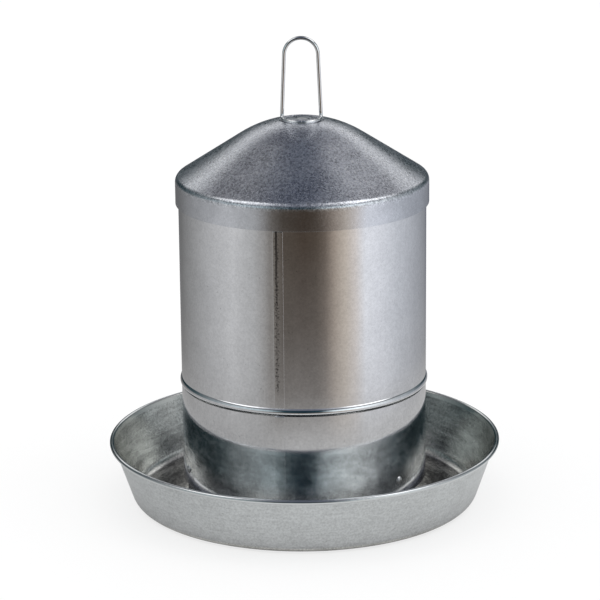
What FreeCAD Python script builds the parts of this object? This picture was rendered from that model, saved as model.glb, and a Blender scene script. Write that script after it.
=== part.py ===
import FreeCAD, Part
import math
import os

import Sketcher
from FreeCAD import Placement, Rotation, Vector

# A galvanised double-wall poultry waterer.
# A pan with a wired rim carries a fixed inner tank and three slotted keepers.
# An outer shell (cylinder, conical roof, wire bail) drops over the tank. Its three pins sit in
# the keepers, hold the shell's edge off the pan floor and lock with a small turn.
# +Z is up, the pan's underside is at Z = 0, the axis is the Z axis, and -Y is the front.

doc = FreeCAD.newDocument("poultry_waterer_fount")

# ---------------------------------------------------------------- driving dimensions (mm, degrees)

SIZES = [
    ("sheet_thick", 0.8),
    # pan
    ("pan_rim_reach", 160.55),
    ("pan_rim_height", 49.5),
    ("pan_wire_dia", 2.2),
    ("pan_wire_gap", 0.05),
    ("pan_wall_lean", 18.9),
    ("pan_corner_rad", 11.0),
    ("pan_curl_turn", 288.0),
    # inner tank
    ("tank_reach", 91.5),
    ("tank_top", 252.8),
    ("tank_wire_dia", 2.2),
    ("tank_curl_turn", 285.0),
    ("tank_foot_width", 9.0),
    ("outlet_dia", 8.0),
    ("outlet_height", 8.0),
    ("seam_bead", 2.4),
    # keepers
    ("keeper_arc", 16.0),
    ("keeper_reach", 97.7),
    ("keeper_thick", 1.2),
    ("keeper_top", 43.8),
    ("keeper_upstand", 14.0),
    ("keeper_fold_rad", 1.6),
    ("keeper_solder_tall", 0.9),
    ("slot_gap", 0.3),
    ("slot_run", 8.5),
    ("slot_flare", 3.0),
    ("rivet_dia", 3.2),
    ("rivet_head_dia", 5.6),
    ("rivet_head_tall", 0.9),
    ("rivet_height", 8.4),
    ("rivet_spread", 5.0),
    # shell
    ("shell_reach", 100.0),
    ("shell_edge", 19.5),
    ("shell_top", 265.8),
    ("hem_tall", 6.0),
    ("bead_height", 102.8),
    ("bead_tall", 6.6),
    ("bead_proud", 1.25),
    ("seam_arc", 3.0),
    ("seam_proud", 0.5),
    ("pin_height", 33.8),
    ("pin_dia", 4.0),
    ("pin_inset", 4.6),
    ("pin_head_dia", 6.6),
    ("pin_head_tall", 1.7),
    ("washer_dia", 8.0),
    ("washer_thick", 0.8),
    # roof
    ("roof_apex", 319.1),
    ("dome_rad", 95.0),
    ("roof_slope", 32.8),
    ("shoulder_rad", 5.8),
    ("skirt_reach", 102.3),
    ("skirt_edge", 250.5),
    ("seat_height", 316.7),
    ("seat_rad", 17.4),
    ("solder_edge", 252.6),
    ("solder_tall", 3.2),
    # apex cap and bail
    ("cap_rad", 13.3),
    ("cap_tall", 1.35),
    ("cap_gap", 0.05),
    ("cap_rivet_dia", 5.0),
    ("cap_head_dia", 8.0),
    ("cap_head_tall", 0.7),
    ("cap_seal_dia", 16.0),
    ("cap_seal_thick", 1.5),
    ("bail_wire_dia", 3.0),
    ("bail_foot_rad", 15.2),
    ("bail_foot_arc", 75.0),
    ("bail_bend_rad", 4.0),
    ("bail_top", 384.8),
    ("bail_eye_rad", 13.5),
    ("bail_end_gap", 0.4),
    ("bail_solder_arc", 22.0),
]

# Places round the axis, in degrees from +X towards +Y. The front is -90.
KEEPER_ANGLES = (-40.5, 79.5, 199.5)
SEAM_ANGLE = -101.0
BAIL_SOLDER_ANGLES = (-90.0, -13.0, 193.0)
KEEPER_COUNT = len(KEEPER_ANGLES)
THIRD_TURN = 360.0 / KEEPER_COUNT
OUTLET_ANGLE = KEEPER_ANGLES[0] + THIRD_TURN / 2.0

sizes = doc.addObject("Spreadsheet::Sheet", "Sizes")
for row, (alias, value) in enumerate(SIZES, start=1):
    sizes.set(f"A{row}", alias)
    sizes.set(f"B{row}", str(value))
    sizes.setAlias(f"B{row}", alias)
doc.recompute()

SUB_PARTS = []


def size(expression):
    """Value of an expression of named sizes, such as 'shell_reach - sheet_thick'."""
    return float(sizes.evalExpression(bound(expression)))


def bound(expression):
    """The same expression with each size's name pointing at its cell."""
    words = ""
    name = ""
    known = {alias for alias, value in SIZES}
    for letter in expression + " ":
        if letter.isalnum() or letter == "_":
            name += letter
            continue
        words += "Sizes." + name if name in known else name
        words += letter
        name = ""
    return words.strip()


# ---------------------------------------------------------------- sketches and features

def new_body(label, angle=0.0, height="0"):
    """A body turned about Z and raised to a named height."""
    body = doc.addObject("PartDesign::Body", label)
    body.Label = label
    body.Placement = Placement(Vector(0, 0, size(height)), Rotation(Vector(0, 0, 1), angle))
    SUB_PARTS.append(body)
    return body


def origin_feature(body, role):
    return next(item for item in body.Origin.OriginFeatures if item.Role == role)


def new_sketch(body, name, plane, turn=0.0):
    """A sketch on a plane of the body's origin. On an upright plane it can be turned about Z."""
    sketch = body.newObject("Sketcher::SketchObject", name)
    sketch.AttachmentSupport = [(origin_feature(body, plane), "")]
    sketch.MapMode = "FlatFace"
    sketch.AttachmentOffset = Placement(Vector(0, 0, 0), Rotation(Vector(0, 1, 0), turn))
    return sketch


def pin_point(sketch, geometry, end, point):
    """Fix one point of the sketch at a pair of size expressions."""
    for kind, axis, expression in (("DistanceX", -2, point[0]), ("DistanceY", -1, point[1])):
        value = size(expression)
        if abs(value) < 1e-9:
            sketch.addConstraint(Sketcher.Constraint("PointOnObject", geometry, end, axis))
        elif value > 0:
            number = sketch.addConstraint(Sketcher.Constraint(kind, -1, 1, geometry, end, value))
            sketch.setExpression(f"Constraints[{number}]", bound(expression))
        else:
            number = sketch.addConstraint(Sketcher.Constraint(kind, geometry, end, -1, 1, -value))
            sketch.setExpression(f"Constraints[{number}]", bound(f"-({expression})"))


def arc_between(start, end, radius, turn):
    """Circle centre of the arc from start to end. turn is 1 anticlockwise or -1 clockwise,
    and 2 or -2 for the longer way round."""
    middle = (start + end) * 0.5
    chord = end - start
    height = math.sqrt(max(radius * radius - chord.Length * chord.Length / 4.0, 0.0))
    side = Vector(-chord.y, chord.x, 0).normalize()
    towards = 1.0 if turn in (1, -2) else -1.0
    return middle + side * height * towards


def outline(sketch, steps):
    """A closed outline of (x, y) points. An (expression, turn) pair between two points makes
    the edge from one to the next an arc of that radius."""
    points = [step for step in steps if not isinstance(step[1], int)]
    bends = []
    for number, step in enumerate(steps):
        if isinstance(step[1], int):
            continue
        after = steps[(number + 1) % len(steps)]
        bends.append(after if isinstance(after[1], int) else None)
    places = [Vector(size(x), size(y), 0) for x, y in points]
    starts = []
    for number, bend in enumerate(bends):
        here = places[number]
        there = places[(number + 1) % len(places)]
        if bend is None:
            geometry = sketch.addGeometry(Part.LineSegment(here, there), False)
            starts.append((geometry, 1, 2))
            continue
        radius, turn = size(bend[0]), bend[1]
        centre = arc_between(here, there, radius, turn)
        first, last = (here, there) if turn > 0 else (there, here)
        circle = Part.Circle(centre, Vector(0, 0, 1), radius)
        begin = math.atan2(first.y - centre.y, first.x - centre.x)
        finish = math.atan2(last.y - centre.y, last.x - centre.x)
        if finish < begin:
            finish += 2.0 * math.pi
        geometry = sketch.addGeometry(Part.ArcOfCircle(circle, begin, finish), False)
        starts.append((geometry, 1, 2) if turn > 0 else (geometry, 2, 1))
    for number, (geometry, begin, finish) in enumerate(starts):
        following = starts[(number + 1) % len(starts)]
        sketch.addConstraint(
            Sketcher.Constraint("Coincident", geometry, finish, following[0], following[1]))
    for number, (geometry, begin, finish) in enumerate(starts):
        pin_point(sketch, geometry, begin, points[number])
        if bends[number] is not None:
            radius = bends[number][0]
            constraint = sketch.addConstraint(
                Sketcher.Constraint("Radius", geometry, size(radius)))
            sketch.setExpression(f"Constraints[{constraint}]", bound(radius))
    return sketch


def circle(sketch, centre, radius):
    """A circle at a pair of size expressions."""
    place = Vector(size(centre[0]), size(centre[1]), 0)
    geometry = sketch.addGeometry(Part.Circle(place, Vector(0, 0, 1), size(radius)), False)
    pin_point(sketch, geometry, 3, centre)
    number = sketch.addConstraint(Sketcher.Constraint("Radius", geometry, size(radius)))
    sketch.setExpression(f"Constraints[{number}]", bound(radius))
    return sketch


def revolve(body, name, sketch, axis="V_Axis", arc=None):
    """Turn the sketch round one of its axes: a full turn, or an arc centred on its plane."""
    feature = body.newObject("PartDesign::Revolution", name)
    feature.Profile = sketch
    feature.ReferenceAxis = (sketch, [axis])
    if arc is None:
        feature.Angle = 360.0
    else:
        feature.Midplane = True
        feature.setExpression("Angle", bound(arc))
    body.Tip = feature
    return feature


def pocket(body, name, sketch, reach):
    """Cut the sketch outwards, away from the Z axis, and check that it cut something."""
    doc.recompute()
    before = body.Shape.Volume
    feature = body.newObject("PartDesign::Pocket", name)
    feature.Profile = sketch
    feature.setExpression("Length", bound(reach))
    feature.Reversed = True
    body.Tip = feature
    doc.recompute()
    if body.Shape.Volume >= before - 1e-3:
        raise RuntimeError(f"{name} cut nothing")
    return feature


def ring_pattern(body, name, originals, count):
    """Repeat features evenly round the Z axis."""
    feature = body.newObject("PartDesign::PolarPattern", name)
    feature.Originals = originals
    feature.Axis = (origin_feature(body, "Z_Axis"), [""])
    feature.Angle = 360.0
    feature.Occurrences = count
    body.Tip = feature
    doc.recompute()
    return feature


def ring_section(label, steps):
    """A body that is one outline turned round the Z axis."""
    body = new_body(label)
    sketch = outline(new_sketch(body, f"{label}_section", "XZ_Plane"), steps)
    revolve(body, f"{label}_turned", sketch)
    return body


def curl(centre_x, centre_y, wire_rad, sheet, lean, turn):
    """Points of a sheet edge rolled outwards round a wire, for a wall that leans outwards by
    lean degrees. It gives the outer face's point, the curl's end and the inner face's point."""
    def at(radius, angle):
        return (f"{centre_x} + ({radius}) * cos({angle})", f"{centre_y} + ({radius}) * sin({angle})")
    begin = f"(180 - {lean})"
    finish = f"(180 - {lean} - {turn})"
    outside = f"({wire_rad} + {sheet})"
    return [
        at(wire_rad, begin),
        (wire_rad, -2),
        at(wire_rad, finish),
        at(outside, finish),
        (outside, 2),
        at(outside, begin),
    ]


# ---------------------------------------------------------------- pan

PAN_ROLL_RAD = "(pan_wire_dia / 2 + pan_wire_gap)"
PAN_ROLL_X = f"(pan_rim_reach - {PAN_ROLL_RAD} - sheet_thick)"
PAN_WALL_FOOT = (
    f"({PAN_ROLL_X} - {PAN_ROLL_RAD} * cos(pan_wall_lean)"
    f" - (pan_rim_height + {PAN_ROLL_RAD} * sin(pan_wall_lean)) * tan(pan_wall_lean))")
PAN_CORNER_X = f"({PAN_WALL_FOOT} - pan_corner_rad * tan((90 - pan_wall_lean) / 2))"


def make_pan():
    """Pressed pan: flat floor, rounded corner, flared wall and a rim rolled round a wire."""
    inner_rad = "(pan_corner_rad - sheet_thick)"
    roll = curl(PAN_ROLL_X, "pan_rim_height", PAN_ROLL_RAD, "sheet_thick",
                "pan_wall_lean", "pan_curl_turn")
    return ring_section("pan", [
        ("0", "0"),
        (PAN_CORNER_X, "0"),
        ("pan_corner_rad", 1),
        (f"{PAN_CORNER_X} + pan_corner_rad * cos(pan_wall_lean)",
         "pan_corner_rad - pan_corner_rad * sin(pan_wall_lean)"),
        *roll,
        (f"{PAN_CORNER_X} + {inner_rad} * cos(pan_wall_lean)",
         f"pan_corner_rad - {inner_rad} * sin(pan_wall_lean)"),
        (inner_rad, -1),
        (PAN_CORNER_X, "sheet_thick"),
        ("0", "sheet_thick"),
    ])


def wire_ring(label, ring_rad, wire_rad, height):
    """A closed ring of round wire."""
    ring = doc.addObject("Part::Torus", label)
    ring.Label = label
    ring.setExpression("Radius1", bound(ring_rad))
    ring.setExpression("Radius2", bound(wire_rad))
    ring.setExpression("Placement.Base.z", bound(height))
    SUB_PARTS.append(ring)
    return ring


# ---------------------------------------------------------------- inner tank

TANK_ROLL_RAD = "(tank_wire_dia / 2 + pan_wire_gap)"
TANK_ROLL_X = f"(tank_reach + {TANK_ROLL_RAD})"
TANK_ROLL_Y = f"(tank_top - {TANK_ROLL_RAD} - sheet_thick)"
TANK_INSIDE = "(tank_reach - sheet_thick)"


def make_tank_wall():
    """Open-topped tank wall: a foot turned in on the pan floor and a wired top edge, with
    outlet holes at its foot and rivet holes for the keepers."""
    roll = curl(TANK_ROLL_X, TANK_ROLL_Y, TANK_ROLL_RAD, "sheet_thick", "0", "tank_curl_turn")
    body = ring_section("tank_wall", [
        ("tank_reach - tank_foot_width", "sheet_thick"),
        ("tank_reach", "sheet_thick"),
        *roll,
        (TANK_INSIDE, "2 * sheet_thick"),
        ("tank_reach - tank_foot_width", "2 * sheet_thick"),
    ])
    outlet = circle(new_sketch(body, "outlet_hole", "YZ_Plane", OUTLET_ANGLE),
                    ("0", "outlet_height"), "outlet_dia / 2")
    cut = pocket(body, "outlet_cut", outlet, "tank_reach + 1")
    ring_pattern(body, "outlets_round", [cut], KEEPER_COUNT)
    holes = []
    for side in (-1, 1):
        turn = KEEPER_ANGLES[0] + side * size("rivet_spread")
        hole = circle(new_sketch(body, f"tank_rivet_hole_{len(holes)}", "YZ_Plane", turn),
                      ("0", "rivet_height"), "rivet_dia / 2")
        holes.append(pocket(body, f"tank_rivet_cut_{len(holes)}", hole, "tank_reach + 1"))
    ring_pattern(body, "tank_rivet_holes_round", holes, KEEPER_COUNT)
    return body


def make_tank_seal():
    """Solder run in the corner between the tank's foot and its wall."""
    return ring_section("tank_seal", [
        (f"{TANK_INSIDE} - seam_bead", "2 * sheet_thick"),
        (TANK_INSIDE, "2 * sheet_thick"),
        (TANK_INSIDE, "2 * sheet_thick + seam_bead"),
        ("seam_bead", 1),
    ])


# ---------------------------------------------------------------- keepers

def make_keeper(number, angle):
    """Keeper bracket: a curved channel riveted to the tank. Its tall web stands just inside
    the shell and has an open slot with a run to one side."""
    body = new_body(f"keeper_bracket_{number}", angle)
    inner_rad = "(keeper_fold_rad - keeper_thick)"
    floor = "sheet_thick"
    fold_y = f"({floor} + keeper_fold_rad)"
    out_x = "(keeper_reach - keeper_fold_rad)"
    in_x = "(tank_reach + keeper_fold_rad)"
    section = outline(new_sketch(body, f"keeper_section_{number}", "XZ_Plane"), [
        (in_x, floor),
        (out_x, floor),
        ("keeper_fold_rad", 1),
        ("keeper_reach", fold_y),
        ("keeper_reach", "keeper_top"),
        ("keeper_reach - keeper_thick", "keeper_top"),
        ("keeper_reach - keeper_thick", fold_y),
        (inner_rad, -1),
        (out_x, f"{floor} + keeper_thick"),
        (in_x, f"{floor} + keeper_thick"),
        (inner_rad, -1),
        ("tank_reach + keeper_thick", fold_y),
        ("tank_reach + keeper_thick", "keeper_upstand"),
        ("tank_reach", "keeper_upstand"),
        ("tank_reach", fold_y),
        ("keeper_fold_rad", 1),
    ])
    revolve(body, f"keeper_turned_{number}", section, arc="keeper_arc")
    half = "(pin_dia / 2 + slot_gap)"
    low = f"(pin_height - {half})"
    high = f"(pin_height + {half})"
    flare_y = "(keeper_top - slot_flare)"
    slot = outline(new_sketch(body, f"keeper_slot_{number}", "YZ_Plane"), [
        (f"-({half})", "pin_height"),
        (half, 1),
        ("0", low),
        ("slot_run", low),
        (half, 1),
        (f"slot_run + {half}", "pin_height"),
        (half, 1),
        ("slot_run", high),
        (half, high),
        (half, flare_y),
        (f"{half} + slot_flare", "keeper_top"),
        (f"{half} + slot_flare", "keeper_top + 1"),
        (f"-({half} + slot_flare)", "keeper_top + 1"),
        (f"-({half} + slot_flare)", "keeper_top"),
        (f"-({half})", flare_y),
    ])
    pocket(body, f"keeper_slot_cut_{number}", slot, "keeper_reach + 1")
    for side in (-1, 1):
        hole = circle(new_sketch(body, f"keeper_hole_{number}_{side + 1}", "YZ_Plane",
                                 side * size("rivet_spread")),
                      ("0", "rivet_height"), "rivet_dia / 2")
        pocket(body, f"keeper_hole_cut_{number}_{side + 1}", hole,
               "tank_reach + keeper_thick + 0.5")
    return body


def make_keeper_solder():
    """Solder run along the foot of each keeper's web, on the pan floor."""
    body = new_body("keeper_solder", KEEPER_ANGLES[0])
    fold_x = "(keeper_reach - keeper_fold_rad)"
    touch = "(keeper_solder_tall / keeper_fold_rad)"
    sketch = outline(new_sketch(body, "keeper_solder_section", "XZ_Plane"), [
        (fold_x, "sheet_thick"),
        ("keeper_reach + keeper_solder_tall", "sheet_thick"),
        (f"{fold_x} + keeper_fold_rad * sin(acos(1 - {touch}))",
         "sheet_thick + keeper_solder_tall"),
        ("keeper_fold_rad", -1),
    ])
    run = revolve(body, "keeper_solder_run", sketch, arc="keeper_arc")
    ring_pattern(body, "keeper_solder_round", [run], KEEPER_COUNT)
    return body


def headed_pin(sketch, inner, shank_end, head_end, shank_rad, head_rad, tail=None):
    """Half section of a round pin along the sketch's X axis: a shank with a low domed head,
    and a flat head at the other end where tail gives its (radius, thickness)."""
    crown = f"({head_end} - {shank_end})"
    dome = f"(({head_rad}) * ({head_rad}) + {crown} * {crown}) / (2 * {crown})"
    steps = [
        (inner, "0"),
        (head_end, "0"),
        (dome, 1),
        (shank_end, head_rad),
        (shank_end, shank_rad),
    ]
    if tail is None:
        steps.append((inner, shank_rad))
    else:
        steps.append((f"{inner} + {tail[1]}", shank_rad))
        steps.append((f"{inner} + {tail[1]}", tail[0]))
        steps.append((inner, tail[0]))
    return outline(sketch, steps)


def make_keeper_rivets():
    """Two rivets for each keeper, through its upstand and the tank wall."""
    body = new_body("keeper_rivets", height="rivet_height")
    inner_seat = f"sqrt({TANK_INSIDE} * {TANK_INSIDE} - rivet_head_dia * rivet_head_dia / 4)"
    rivets = []
    for side in (-1, 1):
        name = f"keeper_rivet_{len(rivets)}"
        turn = KEEPER_ANGLES[0] + side * size("rivet_spread")
        sketch = headed_pin(
            new_sketch(body, f"{name}_section", "XZ_Plane", turn),
            f"{inner_seat} - rivet_head_tall",
            "tank_reach + keeper_thick",
            "tank_reach + keeper_thick + rivet_head_tall",
            "rivet_dia / 2",
            "rivet_head_dia / 2",
            ("rivet_head_dia / 2", "rivet_head_tall"))
        rivets.append(revolve(body, name, sketch, axis="H_Axis"))
    ring_pattern(body, "keeper_rivets_round", rivets, KEEPER_COUNT)
    return body


# ---------------------------------------------------------------- shell

SHELL_INSIDE = "(shell_reach - sheet_thick)"


def make_shell_wall():
    """Shell wall: a straight cylinder with a folded lower edge, a swaged bead, a standing
    lock seam and holes for the three pins."""
    bead_half = "(bead_tall / 2)"
    bead_rad = "((bead_proud * bead_proud + bead_tall * bead_tall / 4) / (2 * bead_proud))"
    hem_inside = f"({SHELL_INSIDE} - sheet_thick)"
    body = ring_section("shell_wall", [
        (hem_inside, "shell_edge + sheet_thick"),
        ("sheet_thick", 1),
        (SHELL_INSIDE, "shell_edge"),
        ("sheet_thick", 1),
        ("shell_reach", "shell_edge + sheet_thick"),
        ("shell_reach", f"bead_height - {bead_half}"),
        (bead_rad, 1),
        ("shell_reach", f"bead_height + {bead_half}"),
        ("shell_reach", "shell_top"),
        (SHELL_INSIDE, "shell_top"),
        (SHELL_INSIDE, f"bead_height + {bead_half}"),
        (bead_rad, -1),
        (SHELL_INSIDE, f"bead_height - {bead_half}"),
        (SHELL_INSIDE, "shell_edge + hem_tall"),
        (hem_inside, "shell_edge + hem_tall - sheet_thick"),
    ])
    seam_foot = "shell_edge + hem_tall"
    seam = outline(new_sketch(body, "lock_seam_section", "XZ_Plane", SEAM_ANGLE), [
        ("shell_reach - sheet_thick / 2", seam_foot),
        ("shell_reach + seam_proud", seam_foot),
        ("shell_reach + seam_proud", "skirt_edge - sheet_thick"),
        ("shell_reach - sheet_thick / 2", "skirt_edge - sheet_thick"),
    ])
    revolve(body, "lock_seam", seam, arc="seam_arc")
    hole = circle(new_sketch(body, "pin_hole", "YZ_Plane", KEEPER_ANGLES[0]),
                  ("0", "pin_height"), "pin_dia / 2")
    cut = pocket(body, "pin_hole_cut", hole, "shell_reach + 1")
    ring_pattern(body, "pin_holes_round", [cut], KEEPER_COUNT)
    return body


def make_keeper_pins():
    """Three headed pins through the shell wall, pointing in at the keepers' slots."""
    body = new_body("keeper_pins", height="pin_height")
    sketch = headed_pin(
        new_sketch(body, "keeper_pin_section", "XZ_Plane", KEEPER_ANGLES[0]),
        "shell_reach - pin_inset",
        "shell_reach",
        "shell_reach + pin_head_tall",
        "pin_dia / 2",
        "pin_head_dia / 2")
    pin = revolve(body, "keeper_pin", sketch, axis="H_Axis")
    ring_pattern(body, "keeper_pins_round", [pin], KEEPER_COUNT)
    return body


def make_pin_washers():
    """Sealing washer behind each pin, inside the shell wall."""
    body = new_body("pin_washers", height="pin_height")
    washer_foot = f"sqrt({SHELL_INSIDE} * {SHELL_INSIDE} - washer_dia * washer_dia / 4)"
    sketch = outline(new_sketch(body, "pin_washer_section", "XZ_Plane", KEEPER_ANGLES[0]), [
        (f"{washer_foot} - washer_thick", "pin_dia / 2"),
        (washer_foot, "pin_dia / 2"),
        (washer_foot, "washer_dia / 2"),
        (f"{washer_foot} - washer_thick", "washer_dia / 2"),
    ])
    washer = revolve(body, "pin_washer", sketch, axis="H_Axis")
    ring_pattern(body, "pin_washers_round", [washer], KEEPER_COUNT)
    return body


# ---------------------------------------------------------------- roof

def make_roof():
    """Roof: a pressed seat at the apex with a hole for the cap's rivet, a dome that runs into
    a straight cone, a rounded shoulder and a skirt over the shell wall."""
    dome_y = "(roof_apex - dome_rad)"
    end_x = "dome_rad * sin(roof_slope)"
    end_y = f"{dome_y} + dome_rad * cos(roof_slope)"
    shoulder_x = "(skirt_reach - shoulder_rad)"
    cone_x = f"({shoulder_x} + shoulder_rad * sin(roof_slope))"
    cone_y = f"({end_y} - ({cone_x} - {end_x}) * tan(roof_slope))"
    shoulder_y = f"({cone_y} - shoulder_rad * cos(roof_slope))"
    inner_dome = "(dome_rad - sheet_thick)"
    inner_shoulder = "(shoulder_rad - sheet_thick)"
    seat_slope = "sheet_thick"
    rise_x = f"(seat_rad + {seat_slope})"
    return ring_section("roof", [
        ("cap_rivet_dia / 2 + cap_gap", "seat_height - sheet_thick"),
        (f"{rise_x} - 0.2", "seat_height - sheet_thick"),
        (rise_x, f"{dome_y} + sqrt({inner_dome} * {inner_dome} - {rise_x} * {rise_x})"),
        (inner_dome, -1),
        (f"{inner_dome} * sin(roof_slope)", f"{dome_y} + {inner_dome} * cos(roof_slope)"),
        (f"{shoulder_x} + {inner_shoulder} * sin(roof_slope)",
         f"{shoulder_y} + {inner_shoulder} * cos(roof_slope)"),
        (inner_shoulder, -1),
        ("skirt_reach - sheet_thick", shoulder_y),
        ("skirt_reach - sheet_thick", "skirt_edge"),
        ("skirt_reach", "skirt_edge"),
        ("skirt_reach", shoulder_y),
        ("shoulder_rad", 1),
        (cone_x, cone_y),
        (end_x, end_y),
        ("dome_rad", 1),
        (rise_x, f"{dome_y} + sqrt(dome_rad * dome_rad - {rise_x} * {rise_x})"),
        ("seat_rad", "seat_height"),
        ("cap_rivet_dia / 2 + cap_gap", "seat_height"),
    ])


def make_roof_solder():
    """Solder ring that fills the space between the skirt and the shell wall."""
    return ring_section("roof_solder", [
        ("shell_reach", "solder_edge"),
        ("skirt_reach - sheet_thick", "solder_edge"),
        ("skirt_reach - sheet_thick", "solder_edge + solder_tall"),
        ("shell_reach", "solder_edge + solder_tall"),
    ])


# ---------------------------------------------------------------- apex cap

CAP_FOOT = "(seat_height + cap_gap)"
CAP_TOP = f"({CAP_FOOT} + cap_tall)"
SEAL_TOP = "(seat_height - sheet_thick - cap_gap)"


def make_roof_cap():
    """Low crowned cap over the apex hole."""
    crown = "(cap_tall - sheet_thick)"
    crown_rad = f"((cap_rad * cap_rad + {crown} * {crown}) / (2 * {crown}))"
    hole = "(cap_rivet_dia / 2)"
    centre_y = f"({CAP_TOP} - {crown_rad})"
    return ring_section("roof_cap", [
        (hole, CAP_FOOT),
        ("cap_rad", CAP_FOOT),
        ("cap_rad", f"{CAP_FOOT} + sheet_thick"),
        (crown_rad, 1),
        (hole, f"{centre_y} + sqrt({crown_rad} * {crown_rad} - {hole} * {hole})"),
    ])


def make_cap_rivet():
    """Rivet through the cap, the roof and the seal, with a low head above and one below."""
    low = f"({SEAL_TOP} - cap_seal_thick)"
    return ring_section("cap_rivet", [
        ("0", f"{low} - cap_head_tall"),
        ("cap_head_dia / 2", f"{low} - cap_head_tall"),
        ("cap_head_dia / 2", low),
        ("cap_rivet_dia / 2", low),
        ("cap_rivet_dia / 2", CAP_TOP),
        ("cap_head_dia / 2", CAP_TOP),
        ("(cap_head_dia * cap_head_dia / 4 + cap_head_tall * cap_head_tall)"
         " / (2 * cap_head_tall)", 1),
        ("0", f"{CAP_TOP} + cap_head_tall"),
    ])


def make_cap_seal():
    """Rubber washer under the roof, round the rivet."""
    low = f"({SEAL_TOP} - cap_seal_thick)"
    return ring_section("cap_seal", [
        ("cap_rivet_dia / 2", low),
        ("cap_seal_dia / 2", low),
        ("cap_seal_dia / 2", SEAL_TOP),
        ("cap_rivet_dia / 2", SEAL_TOP),
    ])


# ---------------------------------------------------------------- bail

def bail_path():
    """Centre line of the bail. From the front of the foot it goes round the cap, bends up
    into a leg, over the eye and down the same way on the other side."""
    wire_rad = size("bail_wire_dia / 2")
    foot_rad = size("bail_foot_rad")
    foot_z = size("seat_height") + wire_rad
    eye_rad = size("bail_eye_rad")
    eye_z = size("bail_top") - wire_rad - eye_rad
    bend_rad = size("bail_bend_rad")
    front = math.radians(-90.0) + size("bail_end_gap") / 2.0 / foot_rad
    finish = math.radians(-90.0 + size("bail_foot_arc"))
    middle = (front + finish) / 2.0

    def on_foot(angle):
        return Vector(foot_rad * math.cos(angle), foot_rad * math.sin(angle), foot_z)

    along = Vector(-math.sin(finish), math.cos(finish), 0)
    # The leg's line touches the eye's circle, so it leans in by the tangent's angle.
    corner = on_foot(finish)
    for attempt in range(8):
        span = Vector(corner.x, 0, corner.z - eye_z)
        lean = math.atan2(span.z, span.x) + math.acos(eye_rad / span.Length)
        up = Vector(-math.sin(lean), 0, math.cos(lean))
        bend = along.getAngle(up)
        corner = on_foot(finish) + along * bend_rad * math.tan(bend / 2.0)
    bend_end = corner + up * bend_rad * math.tan(bend / 2.0)
    towards = (up - along).normalize()
    bend_centre = corner + towards * bend_rad / math.cos(bend / 2.0)
    bend_middle = bend_centre - towards * bend_rad
    eye_side = Vector(eye_rad * math.cos(lean), corner.y, eye_z + eye_rad * math.sin(lean))
    eye_top = Vector(0, corner.y, eye_z + eye_rad)

    def other(point):
        return Vector(-point.x, point.y, point.z)

    edges = [
        Part.Arc(on_foot(front), on_foot(middle), on_foot(finish)),
        Part.Arc(on_foot(finish), bend_middle, bend_end),
        Part.LineSegment(bend_end, eye_side),
        Part.Arc(eye_side, eye_top, other(eye_side)),
        Part.LineSegment(other(eye_side), other(bend_end)),
        Part.Arc(other(bend_end), other(bend_middle), other(on_foot(finish))),
        Part.Arc(other(on_foot(finish)), other(on_foot(middle)), other(on_foot(front))),
    ]
    return Part.Wire([edge.toShape() for edge in edges])


def make_bail():
    """Wire bail: its foot goes round the front of the cap, where the two ends meet."""
    path = bail_path()
    wire_rad = size("bail_wire_dia / 2")
    start = path.Edges[0]
    heading = start.tangentAt(start.FirstParameter)
    end_circle = Part.Circle(start.valueAt(start.FirstParameter), heading, wire_rad)
    section = Part.Wire([end_circle.toShape()])
    swept = path.makePipeShell([section], True, False)
    expected = path.Length * math.pi * wire_rad * wire_rad
    if abs(swept.Volume - expected) > 0.01 * expected:
        raise RuntimeError("the bail's sweep has the wrong volume")
    bail = doc.addObject("Part::Feature", "bail")
    bail.Label = "bail"
    bail.Shape = swept
    bail.Placement = Placement()
    SUB_PARTS.append(bail)
    return bail


def make_bail_solder(bail):
    """Lumps of solder that hold the bail's foot on the roof's seat, cut to fit the wire."""
    lumps = []
    for number, angle in enumerate(BAIL_SOLDER_ANGLES):
        rings = []
        for name, radius in (("outer", "seat_rad - 0.1"), ("inner", "cap_rad + 0.5")):
            ring = doc.addObject("Part::Cylinder", f"bail_solder_{name}_{number}")
            ring.setExpression("Radius", bound(radius))
            ring.setExpression("Height", bound("bail_wire_dia / 2"))
            ring.setExpression("Angle", bound("bail_solder_arc"))
            turn = Rotation(Vector(0, 0, 1), angle - size("bail_solder_arc") / 2.0)
            ring.Placement = Placement(Vector(0, 0, size("seat_height")), turn)
            rings.append(ring)
        sector = doc.addObject("Part::Cut", f"bail_solder_sector_{number}")
        sector.Base, sector.Tool = rings
        fitted = doc.addObject("Part::Cut", f"bail_solder_lump_{number}")
        fitted.Base, fitted.Tool = sector, bail
        lumps.append(fitted)
    group = doc.addObject("Part::Compound", "bail_solder")
    group.Label = "bail_solder"
    group.Links = lumps
    group.Placement = Placement()
    SUB_PARTS.append(group)
    return group


# ---------------------------------------------------------------- build, check, write

make_pan()
wire_ring("pan_rim_wire", PAN_ROLL_X, "pan_wire_dia / 2", "pan_rim_height")
make_tank_wall()
wire_ring("tank_rim_wire", TANK_ROLL_X, "tank_wire_dia / 2", TANK_ROLL_Y)
make_tank_seal()
for keeper, keeper_angle in enumerate(KEEPER_ANGLES, start=1):
    make_keeper(keeper, keeper_angle)
make_keeper_rivets()
make_keeper_solder()
make_shell_wall()
make_keeper_pins()
make_pin_washers()
make_roof()
make_roof_solder()
make_roof_cap()
make_cap_rivet()
make_cap_seal()
make_bail_solder(make_bail())

doc.recompute()

for item in doc.Objects:
    if "Invalid" in item.State or "Error" in item.State:
        raise RuntimeError(f"{item.Name} did not compute: {item.State}")

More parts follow.
